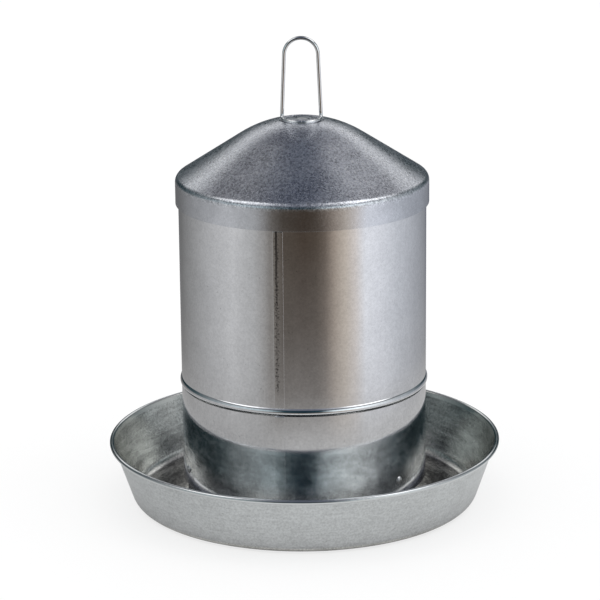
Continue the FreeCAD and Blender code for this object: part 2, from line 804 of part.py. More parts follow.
os.makedirs("parts", exist_ok=True)
for sub_part in SUB_PARTS:
    shape = sub_part.Shape
    if shape.isNull() or not shape.isValid():
        raise RuntimeError(f"{sub_part.Label} has no valid shape")
    shape.exportStep(f"parts/{sub_part.Label}.step")
    box = shape.BoundBox
    print(f"{sub_part.Label:20s} solids {len(shape.Solids)}  volume {shape.Volume:10.1f}  "
          f"x {box.XMin:8.2f} {box.XMax:8.2f}  y {box.YMin:8.2f} {box.YMax:8.2f}  "
          f"z {box.ZMin:8.2f} {box.ZMax:8.2f}")
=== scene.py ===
import math

import bpy
from bpy.props import FloatProperty, FloatVectorProperty, IntProperty, PointerProperty
from mathutils import Matrix, Vector


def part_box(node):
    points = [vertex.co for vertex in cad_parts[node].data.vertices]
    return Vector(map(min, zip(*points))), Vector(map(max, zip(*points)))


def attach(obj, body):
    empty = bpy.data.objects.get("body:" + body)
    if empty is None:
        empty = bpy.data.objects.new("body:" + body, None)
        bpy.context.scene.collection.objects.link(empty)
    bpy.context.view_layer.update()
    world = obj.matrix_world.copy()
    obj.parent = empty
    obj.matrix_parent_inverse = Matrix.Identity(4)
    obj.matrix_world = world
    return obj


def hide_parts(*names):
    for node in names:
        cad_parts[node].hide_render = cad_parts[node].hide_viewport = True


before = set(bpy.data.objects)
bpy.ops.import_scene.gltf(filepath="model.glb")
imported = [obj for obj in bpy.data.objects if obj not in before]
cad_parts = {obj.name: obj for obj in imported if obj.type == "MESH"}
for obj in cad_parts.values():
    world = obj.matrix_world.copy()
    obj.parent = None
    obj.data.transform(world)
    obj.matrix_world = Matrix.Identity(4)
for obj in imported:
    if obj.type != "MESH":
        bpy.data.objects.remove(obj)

bl_info = {
    "name": "Poultry waterer fount",
    "version": (1, 0, 0),
    "blender": (4, 5, 0),
    "location": "View3D > Sidebar > Fount",
    "description": "Builds the visible pieces, finishes and stage of a galvanised poultry waterer",
    "category": "Object",
}

MM = 0.001
FULL_TURN = 2.0 * math.pi
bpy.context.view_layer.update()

PAN_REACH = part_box("pan")[1].x
TANK_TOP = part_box("tank_wall")[1].z
WALL_FOOT, WALL_TOP = (corner.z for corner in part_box("shell_wall"))
SKIRT_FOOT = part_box("roof")[0].z
CAP_LOW, CAP_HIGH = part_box("roof_cap")
SEAL_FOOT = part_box("cap_seal")[0].z
BAIL_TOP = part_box("bail")[1].z
PIN_HEIGHT = sum(corner.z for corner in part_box("keeper_pins")) / 2.0

# Places round the axis, in degrees from +X towards +Y. The front is -90.
KEEPER_ANGLES = (-40.5, 79.5, 199.5)
OUTLET_ANGLES = (19.5, 139.5, 259.5)
SEAM_ANGLE = -101.25

# Small fixed sizes, in metres.
HUB = 2.0 * MM
PIN_INSIDE = 4.6 * MM
PIN_BREAK = 0.2 * MM
PIN_TIP = 0.3 * MM
PIN_CHAMFER = 0.4 * MM
CAP_SHANK = 2.5 * MM
DRILL_MARGIN = 5.0 * MM
SLACK = 0.1 * MM
WELD = 1e-6

# Millimetres round the shell for each radian, for patterns that run round it.
SHELL_REACH = 100.0


def length(name, description, millimetres, least=0.0):
    """A size in metres, with its default given in millimetres."""
    return FloatProperty(name=name, description=description, default=millimetres * MM,
                         min=least, subtype="DISTANCE", unit="LENGTH", precision=5)


def degrees(name, description, value):
    """An angle whose default is given in degrees."""
    return FloatProperty(name=name, description=description, default=math.radians(value),
                         subtype="ANGLE", unit="ROTATION")


def colour(name, description, value):
    """A linear colour."""
    return FloatVectorProperty(name=name, description=description, default=value, size=3,
                               min=0.0, max=1.0, subtype="COLOR")


class FountSheetSettings(bpy.types.PropertyGroup):
    """Sheet metal, and how finely round pieces are cut."""
    thickness: length("Sheet", "Thickness of the galvanised sheet", 0.8)
    segments: IntProperty(name="Segments", description="Faces round a turned piece", default=240,
                          min=48, max=480)
    edge_break: length("Edge break", "Width of the small bevel on cut edges", 0.14)


class FountPanSettings(bpy.types.PropertyGroup):
    """Drinking pan."""
    lean: degrees("Wall lean", "How far the wall leans out from upright", 18.9)
    corner: length("Corner radius", "Outer radius between floor and wall", 11.0)
    rim_height: length("Rim height", "Height of the rolled rim's centre", 49.5)
    roll: length("Roll radius", "Inside radius of the rolled rim", 1.15)
    wire: length("Wire radius", "Radius of the wire in the rim", 1.1)
    curl: degrees("Curl", "How far the rim is rolled", 288.0)


class FountTankSettings(bpy.types.PropertyGroup):
    """Inner tank."""
    radius: length("Radius", "Outer radius of the tank wall", 91.5)
    foot: length("Foot", "Width of the turned-in foot", 9.0)
    roll: length("Roll radius", "Inside radius of the rolled top edge", 1.15)
    wire: length("Wire radius", "Radius of the wire in the top edge", 1.1)
    curl: degrees("Curl", "How far the top edge is rolled", 285.0)
    outlet: length("Outlet radius", "Radius of the outlet holes", 4.0)
    outlet_height: length("Outlet height", "Height of the outlet holes", 8.0)
    solder: length("Solder", "Size of the solder run at the foot", 2.4)


class FountShellSettings(bpy.types.PropertyGroup):
    """Outer shell."""
    radius: length("Radius", "Outer radius of the shell wall", 100.0)
    hem: length("Hem", "Height of the folded lower edge", 6.0)
    bead_height: length("Bead height", "Height of the swaged bead's middle", 102.8)
    bead_tall: length("Bead width", "Width of the bead", 6.6)
    bead_proud: length("Bead depth", "How far the bead stands out", 1.25)
    crease: length("Crease", "Narrow flat at each side of the bead", 0.35)
    seam_arc: degrees("Seam width", "Angle that the lock seam covers", 3.0)
    seam_proud: length("Seam depth", "How far the seam stands out", 0.5)


class FountPinSettings(bpy.types.PropertyGroup):
    """Headed pins and rivets."""
    pin: length("Pin radius", "Radius of a pin's shank", 2.0)
    pin_head: length("Pin head", "Radius of a pin's head", 3.3)
    pin_crown: length("Pin crown", "Height of a pin's head", 1.7)
    rivet: length("Rivet radius", "Radius of a rivet's shank", 1.6)
    rivet_head: length("Rivet head", "Radius of a rivet's head", 2.8)
    rivet_crown: length("Rivet crown", "Height of a rivet's head", 0.9)
    rivet_height: length("Rivet height", "Height of the rivets", 8.4)
    rivet_spread: degrees("Rivet spread", "Angle from a keeper's middle to each rivet", 5.0)
    upstand: length("Upstand", "Thickness of a keeper's upstand", 1.2)


class FountRoofSettings(bpy.types.PropertyGroup):
    """Roof."""
    apex: length("Apex", "Height that the dome would reach with no seat", 319.1)
    dome: length("Dome radius", "Radius of the dome", 95.0)
    slope: degrees("Slope", "Slope of the cone", 32.8)
    shoulder: length("Shoulder", "Outer radius of the shoulder", 5.8)
    skirt: length("Skirt radius", "Outer radius of the skirt", 102.3)
    seat_height: length("Seat height", "Height of the pressed seat", 316.7)
    seat: length("Seat radius", "Radius of the pressed seat", 17.4)
    rivet_hole: length("Rivet hole", "Radius of the hole in the seat", 2.55)


class FountBailSettings(bpy.types.PropertyGroup):
    """Wire bail and the cap that it goes round."""
    wire: length("Wire radius", "Radius of the bail's wire", 1.5)
    foot: length("Foot radius", "Radius of the foot's centre line", 15.2)
    foot_arc: degrees("Foot arc", "Angle of the foot on each side of the front", 75.0)
    bend: length("Bend radius", "Radius of the bend from foot to leg", 4.0)
    eye: length("Eye radius", "Radius of the eye's centre line", 13.5)
    end_gap: length("End gap", "Gap between the wire's two ends", 0.4)
    cap_crown: length("Crown", "Height of the cap's crown", 0.55)
    head: length("Rivet head", "Radius of the cap's rivet head", 4.0)
    head_crown: length("Rivet crown", "Height of the cap's rivet head", 0.7)


class FountFinishSettings(bpy.types.PropertyGroup):
    """Colours of the finishes."""
    bright: colour("Bright zinc", "Smooth new zinc on the shell", (0.80, 0.81, 0.83))
    grained: colour("Grained zinc", "Grained zinc on the roof", (0.66, 0.68, 0.72))
    dull: colour("Dull zinc", "Matte zinc on the pan", (0.66, 0.68, 0.685))
    wire: colour("Wire", "Zinc on drawn wire", (0.74, 0.75, 0.76))
    solder: colour("Solder", "Dull solder", (0.50, 0.51, 0.52))
    rubber: colour("Rubber", "Black rubber", (0.022, 0.022, 0.023))


class FountStageSettings(bpy.types.PropertyGroup):
    """Floor, light and camera."""
    floor_span: length("Floor", "Side of the floor", 30000.0)
    lens: FloatProperty(name="Lens", description="Focal length", default=168.0, min=20.0,
                        unit="CAMERA")
    camera_back: length("Back", "Camera's distance in front of the axis", 2194.1)
    camera_height: length("Height", "Camera's height", 791.7)
    camera_side: length("Side", "Camera's distance to the side", -2.6, least=-1.0)
    pitch: degrees("Pitch", "How far the camera looks down", 15.894)
    roll: degrees("Roll", "How far the camera is turned about its own line", 0.544)


def sizes(name):
    """The scene's group of settings with this name."""
    return getattr(bpy.context.scene, f"fount_{name}")


# ---------------------------------------------------------------- outlines (radius, height)

def arc(centre, radius, start, finish, step=6.0):
    """Points along an arc between two angles in degrees, both ends included."""
    count = max(2, math.ceil(abs(finish - start) / step))
    points = []
    for number in range(count + 1):
        angle = math.radians(start + (finish - start) * number / count)
        points.append((centre[0] + radius * math.cos(angle), centre[1] + radius * math.sin(angle)))
    return points


def curl(centre, roll, sheet, lean, turn):
    """A sheet edge rolled outwards round a wire: down the inside of the roll, back outside."""
    start = 180.0 - lean
    return (arc(centre, roll, start, start - turn, 12.0)
            + arc(centre, roll + sheet, start - turn, start, 10.0))


def line(start, finish, count):
    """Points along a straight run, without its first point."""
    return [(start[0] + (finish[0] - start[0]) * n / count,
             start[1] + (finish[1] - start[1]) * n / count) for n in range(1, count + 1)]


def crown(reach, rise):
    """Radius of the arc that rises this much over this half width, and its half angle."""
    radius = (reach * reach + rise * rise) / (2.0 * rise)
    return radius, math.degrees(math.asin(min(1.0, reach / radius)))


# ---------------------------------------------------------------- modelling by operators

def deselect():
    """Leave nothing selected and nothing in edit mode."""
    if bpy.context.object and bpy.context.object.mode != "OBJECT":
        bpy.ops.object.mode_set(mode="OBJECT")
    bpy.ops.object.select_all(action="DESELECT")


def choose(piece):
    """Select one piece and make it active."""
    deselect()
    piece.select_set(True)
    bpy.context.view_layer.objects.active = piece


def settle(piece):
    """Put the piece's place, turn and size into its mesh."""
    choose(piece)
    bpy.ops.object.transform_apply(location=True, rotation=True, scale=True)


def apply_modifier(piece, kind, **settings):
    """Add a modifier with these settings and apply it."""
    choose(piece)
    modifier = piece.modifiers.new(kind.title(), kind)
    for name, value in settings.items():
        setattr(modifier, name, value)
    bpy.ops.object.modifier_apply(modifier=modifier.name)


def smooth(piece, angle):
    """Smooth shading across all but the sharp edges, led by the large faces."""
    choose(piece)
    bpy.ops.object.shade_smooth_by_angle(angle=math.radians(angle))
    apply_modifier(piece, "WEIGHTED_NORMAL", weight=100, keep_sharp=True)


def extrude(rise=0.0):
    bpy.ops.mesh.extrude_region_move(TRANSFORM_OT_translate={"value": (0.0, 0.0, rise)})


def step_ring(here, there):
    """Extrude the selected ring from one (radius, height) to the next."""
    extrude(there[1] - here[1])
    factor = there[0] / here[0]
    bpy.ops.transform.resize(value=(factor, factor, 1.0), center_override=(0.0, 0.0, there[1]))
    return there


def turned(name, outline, closed=True, segments=None):
    """A round piece: a ring drawn at the outline's first point and extruded through the rest.
    A closed outline comes back to its first ring. An open one starts and ends at the axis."""
    deselect()
    first = outline[0]
    bpy.ops.mesh.primitive_circle_add(vertices=segments or sizes("sheet").segments, radius=first[0],
                                      location=(0.0, 0.0, first[1]))
    piece = bpy.context.object
    piece.name = name
    piece.data.name = name
    settle(piece)
    bpy.ops.object.mode_set(mode="EDIT")
    bpy.ops.mesh.select_all(action="SELECT")
    here = first
    for there in outline[1:]:
        here = step_ring(here, there)
    if closed:
        step_ring(here, first)
        bpy.ops.mesh.select_all(action="SELECT")
        bpy.ops.mesh.remove_doubles(threshold=WELD)
    else:
        extrude()
        bpy.ops.mesh.merge(type="CENTER")
        bpy.ops.mesh.select_all(action="DESELECT")
        bpy.ops.mesh.select_mode(type="EDGE")
        bpy.ops.mesh.select_non_manifold()
        extrude()
        bpy.ops.mesh.merge(type="CENTER")
        bpy.ops.mesh.select_mode(type="VERT")
    bpy.ops.mesh.select_all(action="SELECT")
    bpy.ops.mesh.normals_make_consistent(inside=False)
    bpy.ops.object.mode_set(mode="OBJECT")
    return piece


def break_edges(piece, width=None):
    """Bevel the sharp edges a little, as on cut sheet."""
    apply_modifier(piece, "BEVEL", width=width or sizes("sheet").edge_break, segments=2,
                   limit_method="ANGLE", angle_limit=math.radians(50.0))


def around(piece, angle):
    """Turn a piece modelled along +X to its own angle round the Z axis."""
    piece.matrix_world = Matrix.Rotation(math.radians(angle), 4, "Z") @ piece.matrix_world
    settle(piece)


def drill(piece, angles, radius, height, inner, outer):
    """Bore radial round holes through a wall that lies between two radii."""
    inner -= DRILL_MARGIN
    outer += DRILL_MARGIN
    for angle in angles:
        deselect()
        bpy.ops.mesh.primitive_cylinder_add(vertices=48, radius=radius, depth=outer - inner,
                                            location=((outer + inner) / 2.0, 0.0, height),
                                            rotation=(0.0, math.pi / 2.0, 0.0))
        bit = bpy.context.object
        settle(bit)
        around(bit, angle)
        apply_modifier(piece, "BOOLEAN", object=bit, operation="DIFFERENCE", solver="EXACT")
        bpy.data.objects.remove(bit)


def joined(name, pieces):
    """Several solids as one piece."""
    choose(pieces[0])
    for piece in pieces:
        piece.select_set(True)
    bpy.ops.object.join()
    result = bpy.context.object
    result.name = name
    result.data.name = name
    return result


def coat(piece, finish):
    """Give a piece the finish of this name, made the first time that it is asked for."""
    piece.data.materials.clear()
    piece.data.materials.append(bpy.data.materials.get(finish) or FINISHES[finish](finish))


def hand_over(piece, body, node, finish, angle=32.0):
    """Smooth a finished piece up to an angle in degrees, give it its finish and its body, and hide
    the frame's node that it stands for."""
    smooth(piece, angle)
    coat(piece, finish)
    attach(piece, body)
    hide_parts(node)


# ---------------------------------------------------------------- finishes

class Wire:
    """A socket that adds Math nodes when it is used in a sum."""

    def __init__(self, finish, socket):
        self.finish = finish
        self.socket = socket

    def math(self, operation, *others):
        node = self.finish.node("ShaderNodeMath", {"operation": operation},
                                {n: value for n, value in enumerate((self, *others))})
        return Wire(self.finish, node.outputs[0])

    def __add__(self, other):
        return self.math("ADD", other)

    def __sub__(self, other):
        return self.math("SUBTRACT", other)

    def __rsub__(self, other):
        return self.math("MULTIPLY", -1.0).math("ADD", other)

    def __mul__(self, other):
        return self.math("MULTIPLY", other)

    def __truediv__(self, other):
        return self.math("DIVIDE", other)

    def __pow__(self, other):
        return self.math("POWER", other)

    def clamped(self):
        return self.math("MAXIMUM", 0.0).math("MINIMUM", 1.0)

    __radd__ = __add__
    __rmul__ = __mul__


class Finish:
    """A material, or the world, under construction."""

    def __init__(self, name, tree=None):
        if tree is None:
            self.material = bpy.data.materials.new(name)
            self.material.use_nodes = True
            tree = self.material.node_tree
        self.tree = tree
        self.tree.nodes.clear()

    def node(self, kind, settings=None, inputs=None):
        """One node: its settings first, then its sockets' values or links."""
        node = self.tree.nodes.new(kind)
        for name, value in (settings or {}).items():
            if name == "stops":
                self.set_stops(node.color_ramp, value)
            else:
                setattr(node, name, value)
        for name, value in (inputs or {}).items():
            if isinstance(value, Wire):
                self.tree.links.new(value.socket, node.inputs[name])
            else:
                node.inputs[name].default_value = value
        return node

    def set_stops(self, ramp, stops):
        """A ramp's (place, colour) stops."""
        while len(ramp.elements) > 1:
            ramp.elements.remove(ramp.elements[-1])
        for number, (place, value) in enumerate(stops):
            element = ramp.elements[0] if number == 0 else ramp.elements.new(place)
            element.position = place
            element.color = (*value, 1.0)

    def ramp(self, value, stops):
        """A colour that follows a value along (place, colour) stops."""
        return self.wire(self.node("ShaderNodeValToRGB", {"stops": stops}, {"Fac": value}))

    def ring(self, turn, stops):
        """A ramp once round, closed by its own first stop, from stops in degrees."""
        closed = [*stops, (180.0, stops[0][1])]
        return self.ramp(turn, [((angle + 180.0) / 360.0, value) for angle, value in closed])

    def wire(self, node, output=0):
        return Wire(self, node.outputs[output])

    def place(self):
        """Object coordinates, in millimetres."""
        here = self.node("ShaderNodeTexCoord")
        scaled = self.node("ShaderNodeVectorMath", {"operation": "SCALE"},
                           {"Vector": self.wire(here, "Object"), "Scale": 1.0 / MM})
        return self.wire(scaled)

    def parts(self, vector):
        split = self.node("ShaderNodeSeparateXYZ", {}, {0: vector})
        return [self.wire(split, number) for number in range(3)]

    def vector(self, x, y, z):
        return self.wire(self.node("ShaderNodeCombineXYZ", {}, {0: x, 1: y, 2: z}))

    def noise(self, vector, size, detail=2.0, rough=0.5, twist=0.0):
        """Noise from 0 to 1 with features of about this size in millimetres."""
        made = self.node("ShaderNodeTexNoise", {}, {"Vector": vector, "Scale": 1.0 / size,
                                                    "Detail": detail, "Roughness": rough,
                                                    "Distortion": twist})
        return self.wire(made, "Fac")

    def crystals(self, vector, size):
        """A number from 0 to 1 that is even within each crystal of this size."""
        cells = self.node("ShaderNodeTexVoronoi", {"feature": "F1"},
                          {"Vector": vector, "Scale": 1.0 / size, "Randomness": 1.0})
        split = self.node("ShaderNodeSeparateColor", {}, {0: self.wire(cells, "Color")})
        return self.wire(split, 0)

    def between(self, value, low, high):
        """A smooth step from 0 to 1 while the value goes from low to high."""
        return self.wire(self.node("ShaderNodeMapRange", {"interpolation_type": "SMOOTHSTEP"},
                                   {"Value": value, "From Min": low, "From Max": high}))

    def patches(self, vector, size, detail, rough, low, high, twist=0.0):
        """Noise with its values from low to high stretched to the whole of 0 to 1."""
        return self.between(self.noise(vector, size, detail, rough, twist), low, high)

    def blend(self, factor, low, high):
        """A mix of two colours."""
        made = self.node("ShaderNodeMix", {"data_type": "RGBA"}, {"Factor": factor})
        for number, value in ((6, low), (7, high)):
            if isinstance(value, Wire):
                self.tree.links.new(value.socket, made.inputs[number])
            else:
                made.inputs[number].default_value = (*value, 1.0)
        return Wire(self, made.outputs[2])

    def bump(self, height, distance, under=None):
        inputs = {"Height": height, "Distance": distance, "Strength": 1.0}
        if under is not None:
            inputs["Normal"] = under
        return self.wire(self.node("ShaderNodeBump", {}, inputs))

    def surface(self, base, brightness, rough, normal, metallic=1.0):
        """The shader and the material's output. The base colour is made brighter or darker by
        a value near 1."""
        colour = self.node("ShaderNodeVectorMath", {"operation": "SCALE"},
                           {"Vector": base, "Scale": brightness})
        shader = self.node("ShaderNodeBsdfPrincipled", {}, {
            "Base Color": self.wire(colour), "Metallic": metallic,
            "Roughness": rough.clamped(), "Normal": normal})
        self.node("ShaderNodeOutputMaterial", {}, {"Surface": self.wire(shader)})
        return self.material


def started(name, colour):
    """A new finish, its base colour and its place in millimetres."""
    finish = Finish(name)
    return finish, tuple(getattr(sizes("finish"), colour)), finish.place()


def round_place(finish, place):
    """Angle round the axis in radians, then distance from it and height in millimetres."""
    x, y, height = finish.parts(place)
    return y.math("ARCTAN2", x), (x * x + y * y) ** 0.5, height


def bright_zinc(name):
    """Smooth glossy zinc on the shell: fine drawn lines, faint crystals, small scuffs, and
    black dirt down the seam, which turns from a line at the top into dots lower down."""
    finish, base, place = started(name, "bright")
    angle, height = round_place(finish, place)[::2]
    unrolled = finish.vector(angle * SHELL_REACH, height, 0.0)
    lines = finish.noise(finish.vector(angle * SHELL_REACH, height / 40.0, 0.0), 1.6, 3.0, 0.65)
    cross = finish.noise(finish.vector(angle * 4.0, height, 3.0), 1.4, 2.0, 0.5)
    crystal = finish.crystals(place, 4.0)
    cloud = finish.patches(place, 30.0, 4.0, 0.6, 0.30, 0.70)
    dust = finish.patches(place, 1.8, 2.0, 0.6, 0.30, 0.70)
    speck = finish.patches(place, 1.7, 2.0, 0.6, 0.68, 0.76)
    dirty = finish.patches(place, 26.0, 3.0, 0.6, 0.48, 0.62)
    scuffs = finish.patches(unrolled, 7.0, 4.0, 0.72, 0.60, 0.72, twist=1.5)
    arc = (angle - math.radians(SEAM_ANGLE - 0.7)) * SHELL_REACH
    drift = finish.noise(finish.vector(0.0, 0.0, height), 16.0, 2.0, 0.5) - 0.5
    beside = (arc + drift * 2.0).math("ABSOLUTE")
    upper = finish.between(height, 170.0, 245.0)
    joint = finish.between(beside, 1.25, 0.45) * (0.30 + upper * 0.65)
    dots = finish.patches(unrolled, 1.5, 2.0, 0.6, 0.50, 0.60)
    joint = joint + dots * finish.between(beside, 3.2, 0.6) * 0.75
    joint = (joint * finish.between(height, 116.0, 124.0)).clamped()
    brightness = (0.86 + crystal * 0.06 + lines * 0.08 + cloud * 0.07 + dust * 0.12
                  - speck * dirty * 0.60 - scuffs * 0.08) * (1.0 - joint * 0.80)
    rough = (0.045 + crystal * 0.02 + lines * 0.02 + cross * 0.01 + cloud * 0.02
             + scuffs * 0.08 + speck * 0.08)
    waves = finish.noise(finish.vector(angle * SHELL_REACH, height / 3.0, 7.0), 26.0, 1.0, 0.4)
    ripple = finish.bump(waves, 0.00022)
    grain = finish.bump(cross * 0.3 + crystal * 0.4 + dust * 0.3, 0.000004, ripple)
    return finish.surface(base, brightness, rough, grain)


def grained_zinc(name):
    """Grained zinc on the roof: sandy and matte on the cone, smoother down the skirt."""
    finish, base, place = started(name, "grained")
    roof = sizes("roof")
    height = finish.parts(place)[2]
    shoulder = (SKIRT_FOOT + roof.shoulder * 2.0) / MM
    cone = finish.between(height, shoulder + 3.0, shoulder + 7.0)
    grain = finish.patches(place, 2.0, 2.0, 0.6, 0.32, 0.68)
    sand = finish.patches(place, 1.1, 1.0, 0.5, 0.30, 0.70)
    glint = finish.patches(place, 1.5, 1.0, 0.5, 0.66, 0.76)
    pits = finish.patches(place, 2.4, 3.0, 0.65, 0.60, 0.70)
    crystal = finish.crystals(place, 3.4)
    cloud = finish.patches(place, 26.0, 4.0, 0.62, 0.30, 0.70)
    texture = grain * 0.34 + sand * 0.36 + glint * 0.65 - pits * 0.22 + crystal * 0.08 - 0.32
    brightness = 0.90 + texture * (0.28 + cone * 1.05) + cloud * 0.16
    rough = 0.075 + cone * 0.17 + grain * 0.05 + cloud * 0.05 + pits * 0.08 - glint * 0.05
    dents = finish.bump(finish.noise(place, 30.0, 1.0, 0.4), 0.00030)
    bumps = finish.bump((grain * 0.6 + sand * 0.4) * (0.2 + cone * 0.8), 0.000050, dents)
    return finish.surface(base, brightness, rough, bumps)


def dull_zinc(name):
    """Satin zinc on the pan: fine speckle outside; inside, circling water marks and stains with
    painted shade, darkest on the floor by the shell, a painted highlight ring in the corner and
    a painted reflection band up the wall; and a glossy rim painted bright as a highlight."""
    finish, base, place = started(name, "dull")
    pan = sizes("pan")
    angle, radius, height = round_place(finish, place)
    inside = finish.between(inside_pan(radius, height), -0.2, 0.4)
    rim = finish.between(height, (pan.rim_height - 2.6 * MM) / MM, pan.rim_height / MM - 1.6)
    # floor marks the inner floor, which is painted darker below as painted shade.
    floor = finish.between(height, pan.corner / MM * 0.5, pan.corner / MM * 0.12)
    speck = finish.patches(place, 1.7, 2.0, 0.6, 0.30, 0.70)
    cloud = finish.patches(place, 24.0, 4.0, 0.62, 0.30, 0.70)
    drawn, rings, patch = (
        finish.patches(finish.vector(angle * reach, radius, height), *noise)
        for reach, noise in ((18.0, (2.2, 3.0, 0.6, 0.30, 0.70)),
                             (26.0, (3.4, 4.0, 0.62, 0.32, 0.68)),
                             (60.0, (30.0, 3.0, 0.55, 0.38, 0.66))))
    pits = finish.patches(place, 1.9, 2.0, 0.6, 0.64, 0.72)
    outer = 0.70 + speck * 0.22 + cloud * 0.08 + drawn * 0.10 - pits * 0.16
    # corner: a painted highlight ring low on the inner wall, just above the floor.
    corner = finish.between(height, 16.0, 9.0) * finish.between(height, 1.2, 2.6)
    # A band up the inner wall is painted brighter in patches: a painted reflection.
    wall_band_reflection = finish.between(height, 12.0, 18.0) * finish.between(height, 42.0, 28.0)
    # close grows towards the shell: the floor is painted darker still there, as painted shade under
    # the shell.
    close = finish.between(radius, 132.0, 112.0)
    # Inside, rings, patch and pits are water marks and stains, and the low base tone is painted
    # shade: the whole inside is painted much darker than the outside.
    inner = 0.34 + rings * 0.34 + patch * 0.34 + speck * 0.40 - pits * (0.22 + patch * 0.60)
    inner = inner + corner * 0.36 + wall_band_reflection * patch * 0.32 - floor * (0.42 + close * 0.18)
    brightness = outer + inside * (inner - outer)
    # The rim's top is painted near full brightness, a painted highlight along the roll, and is made
    # glossy below.
    brightness = brightness + rim * (1.02 + speck * 0.06 - brightness)
    rough = 0.33 + speck * 0.06 + cloud * 0.05 + inside * (rings * 0.06 - 0.23)
    rough = rough + rim * (0.15 - rough)
    dents = finish.bump(finish.noise(place, 34.0, 1.0, 0.4), 0.00022)
    grain = finish.bump(speck * 0.5 + drawn * 0.5, 0.000022, dents)
    tinted = finish.blend(inside, base, tuple(c * t for c, t in zip(base, (1.03, 1.0, 0.95))))
    return finish.surface(tinted, brightness, rough, grain)


def inside_pan(radius, height):
    """Positive on the pan's inner face and negative on its outer face, in millimetres."""
    pan = sizes("pan")
    sheet = sizes("sheet")
    foot = pan_wall_foot() / MM
    wall = (radius - height * math.tan(pan.lean)) * -1.0 + foot - sheet.thickness / MM * 0.5
    floor = height - sheet.thickness / MM * 0.5
    return wall.math("MINIMUM", floor)


def plain_zinc(name):
    """Satin zinc with small crystals, on the tank and the keepers."""
    finish, base, place = started(name, "dull")
    crystal = finish.crystals(place, 5.0)
    speck = finish.noise(place, 1.0, 3.0, 0.6)
    cloud = finish.noise(place, 24.0, 3.0, 0.6)
    brightness = 0.84 + crystal * 0.10 + speck * 0.08 + cloud * 0.12
    rough = 0.24 + crystal * 0.08 + cloud * 0.10 + speck * 0.04
    bumps = finish.bump(speck * 0.5 + crystal * 0.5, 0.00002)
    return finish.surface(base, brightness, rough, bumps)


def crystal_zinc(name):
    """Zinc with a plain crystal pattern, on the cap."""
    finish, base, place = started(name, "grained")
    crystal = finish.crystals(place, 2.6)
    speck = finish.noise(place, 0.6, 2.0, 0.6)
    brightness = 0.70 + crystal * 0.42 + speck * 0.12
    rough = 0.22 + crystal * 0.16 + speck * 0.06
    bumps = finish.bump(crystal * 0.6 + speck * 0.4, 0.00003)
    return finish.surface(base, brightness, rough, bumps)


def wire_zinc(name):
    """Bright drawn wire with small dull spots."""
    finish, base, place = started(name, "wire")
    spots = finish.patches(place, 1.4, 3.0, 0.6, 0.52, 0.70)
    fine = finish.noise(place, 0.35, 2.0, 0.5)
    brightness = 1.10 + fine * 0.20 - spots * 0.38
    rough = 0.05 + spots * 0.10 + fine * 0.03
    bumps = finish.bump(fine * 0.5 + spots * 0.5, 0.000015)
    return finish.surface(base, brightness, rough, bumps)


def pin_zinc(name):
    """Zinc-plated steel of pins and rivets, with scuffed spots all over."""
    finish, base, place = started(name, "wire")
    fine = finish.noise(place, 0.5, 3.0, 0.6)
    spots = finish.patches(place, 1.2, 2.0, 0.6, 0.50, 0.70)
    brightness = 0.86 + fine * 0.18 - spots * 0.20
    rough = 0.24 + fine * 0.10 + spots * 0.12
    bumps = finish.bump(fine, 0.00003)
    return finish.surface(base, brightness, rough, bumps)


def dull_solder(name):
    """Lumpy dull solder."""
    finish, base, place = started(name, "solder")
    lumps = finish.noise(place, 1.8, 3.0, 0.55)
    fine = finish.noise(place, 0.4, 2.0, 0.6)
    brightness = 0.80 + lumps * 0.22 + fine * 0.14
    rough = 0.42 + lumps * 0.16 + fine * 0.08
    bumps = finish.bump(lumps * 0.7 + fine * 0.3, 0.00014)
    return finish.surface(base, brightness, rough, bumps)


def black_rubber(name):
    """Matte rubber with a fine moulded grain."""
    finish, base, place = started(name, "rubber")
    grain = finish.noise(place, 0.4, 2.0, 0.6)
    dust = finish.patches(place, 3.0, 3.0, 0.6, 0.50, 0.75)
    brightness = 0.85 + grain * 0.25 + dust * 0.55
    bumps = finish.bump(grain, 0.00003)
    return finish.surface(base, brightness, 0.72 + grain * 0.12, bumps, metallic=0.0)


FINISHES = {make.__name__: make for make in (
    bright_zinc, grained_zinc, dull_zinc, plain_zinc, crystal_zinc, wire_zinc, pin_zinc,
    dull_solder, black_rubber)}


# ---------------------------------------------------------------- pan

def pan_roll_centre():
    pan = sizes("pan")
    sheet = sizes("sheet")
    return (PAN_REACH - pan.roll - sheet.thickness, pan.rim_height)


def pan_wall_foot():
    """Radius where the wall's outer face would meet the ground."""
    pan = sizes("pan")
    centre = pan_roll_centre()
    touch_x = centre[0] - pan.roll * math.cos(pan.lean)
    touch_y = centre[1] + pan.roll * math.sin(pan.lean)
    return touch_x - touch_y * math.tan(pan.lean)


def pan_outline():
    """The pan's section, from the axis under the floor, round the rim, back to the axis."""
    pan = sizes("pan")
    sheet = sizes("sheet")
    lean = math.degrees(pan.lean)
    corner_x = pan_wall_foot() - pan.corner * math.tan((math.pi / 2.0 - pan.lean) / 2.0)
    centre = (corner_x, pan.corner)
    flat = corner_x * 0.98
    under = [(HUB, 0.0)] + line((HUB, 0.0), (flat, 0.0), 8)
    rim = curl(pan_roll_centre(), pan.roll, sheet.thickness, lean, math.degrees(pan.curl))
    outer_corner = arc(centre, pan.corner, -90.0, -lean, 9.0)
    inner_corner = arc(centre, pan.corner - sheet.thickness, -lean, -90.0, 9.0)
    floor = [(flat, sheet.thickness)]
    floor += line(floor[0], (HUB, sheet.thickness), 8)
    return (under + outer_corner + line(outer_corner[-1], rim[0], 8) + rim[1:]
            + line(rim[-1], inner_corner[0], 8) + inner_corner[1:] + floor)


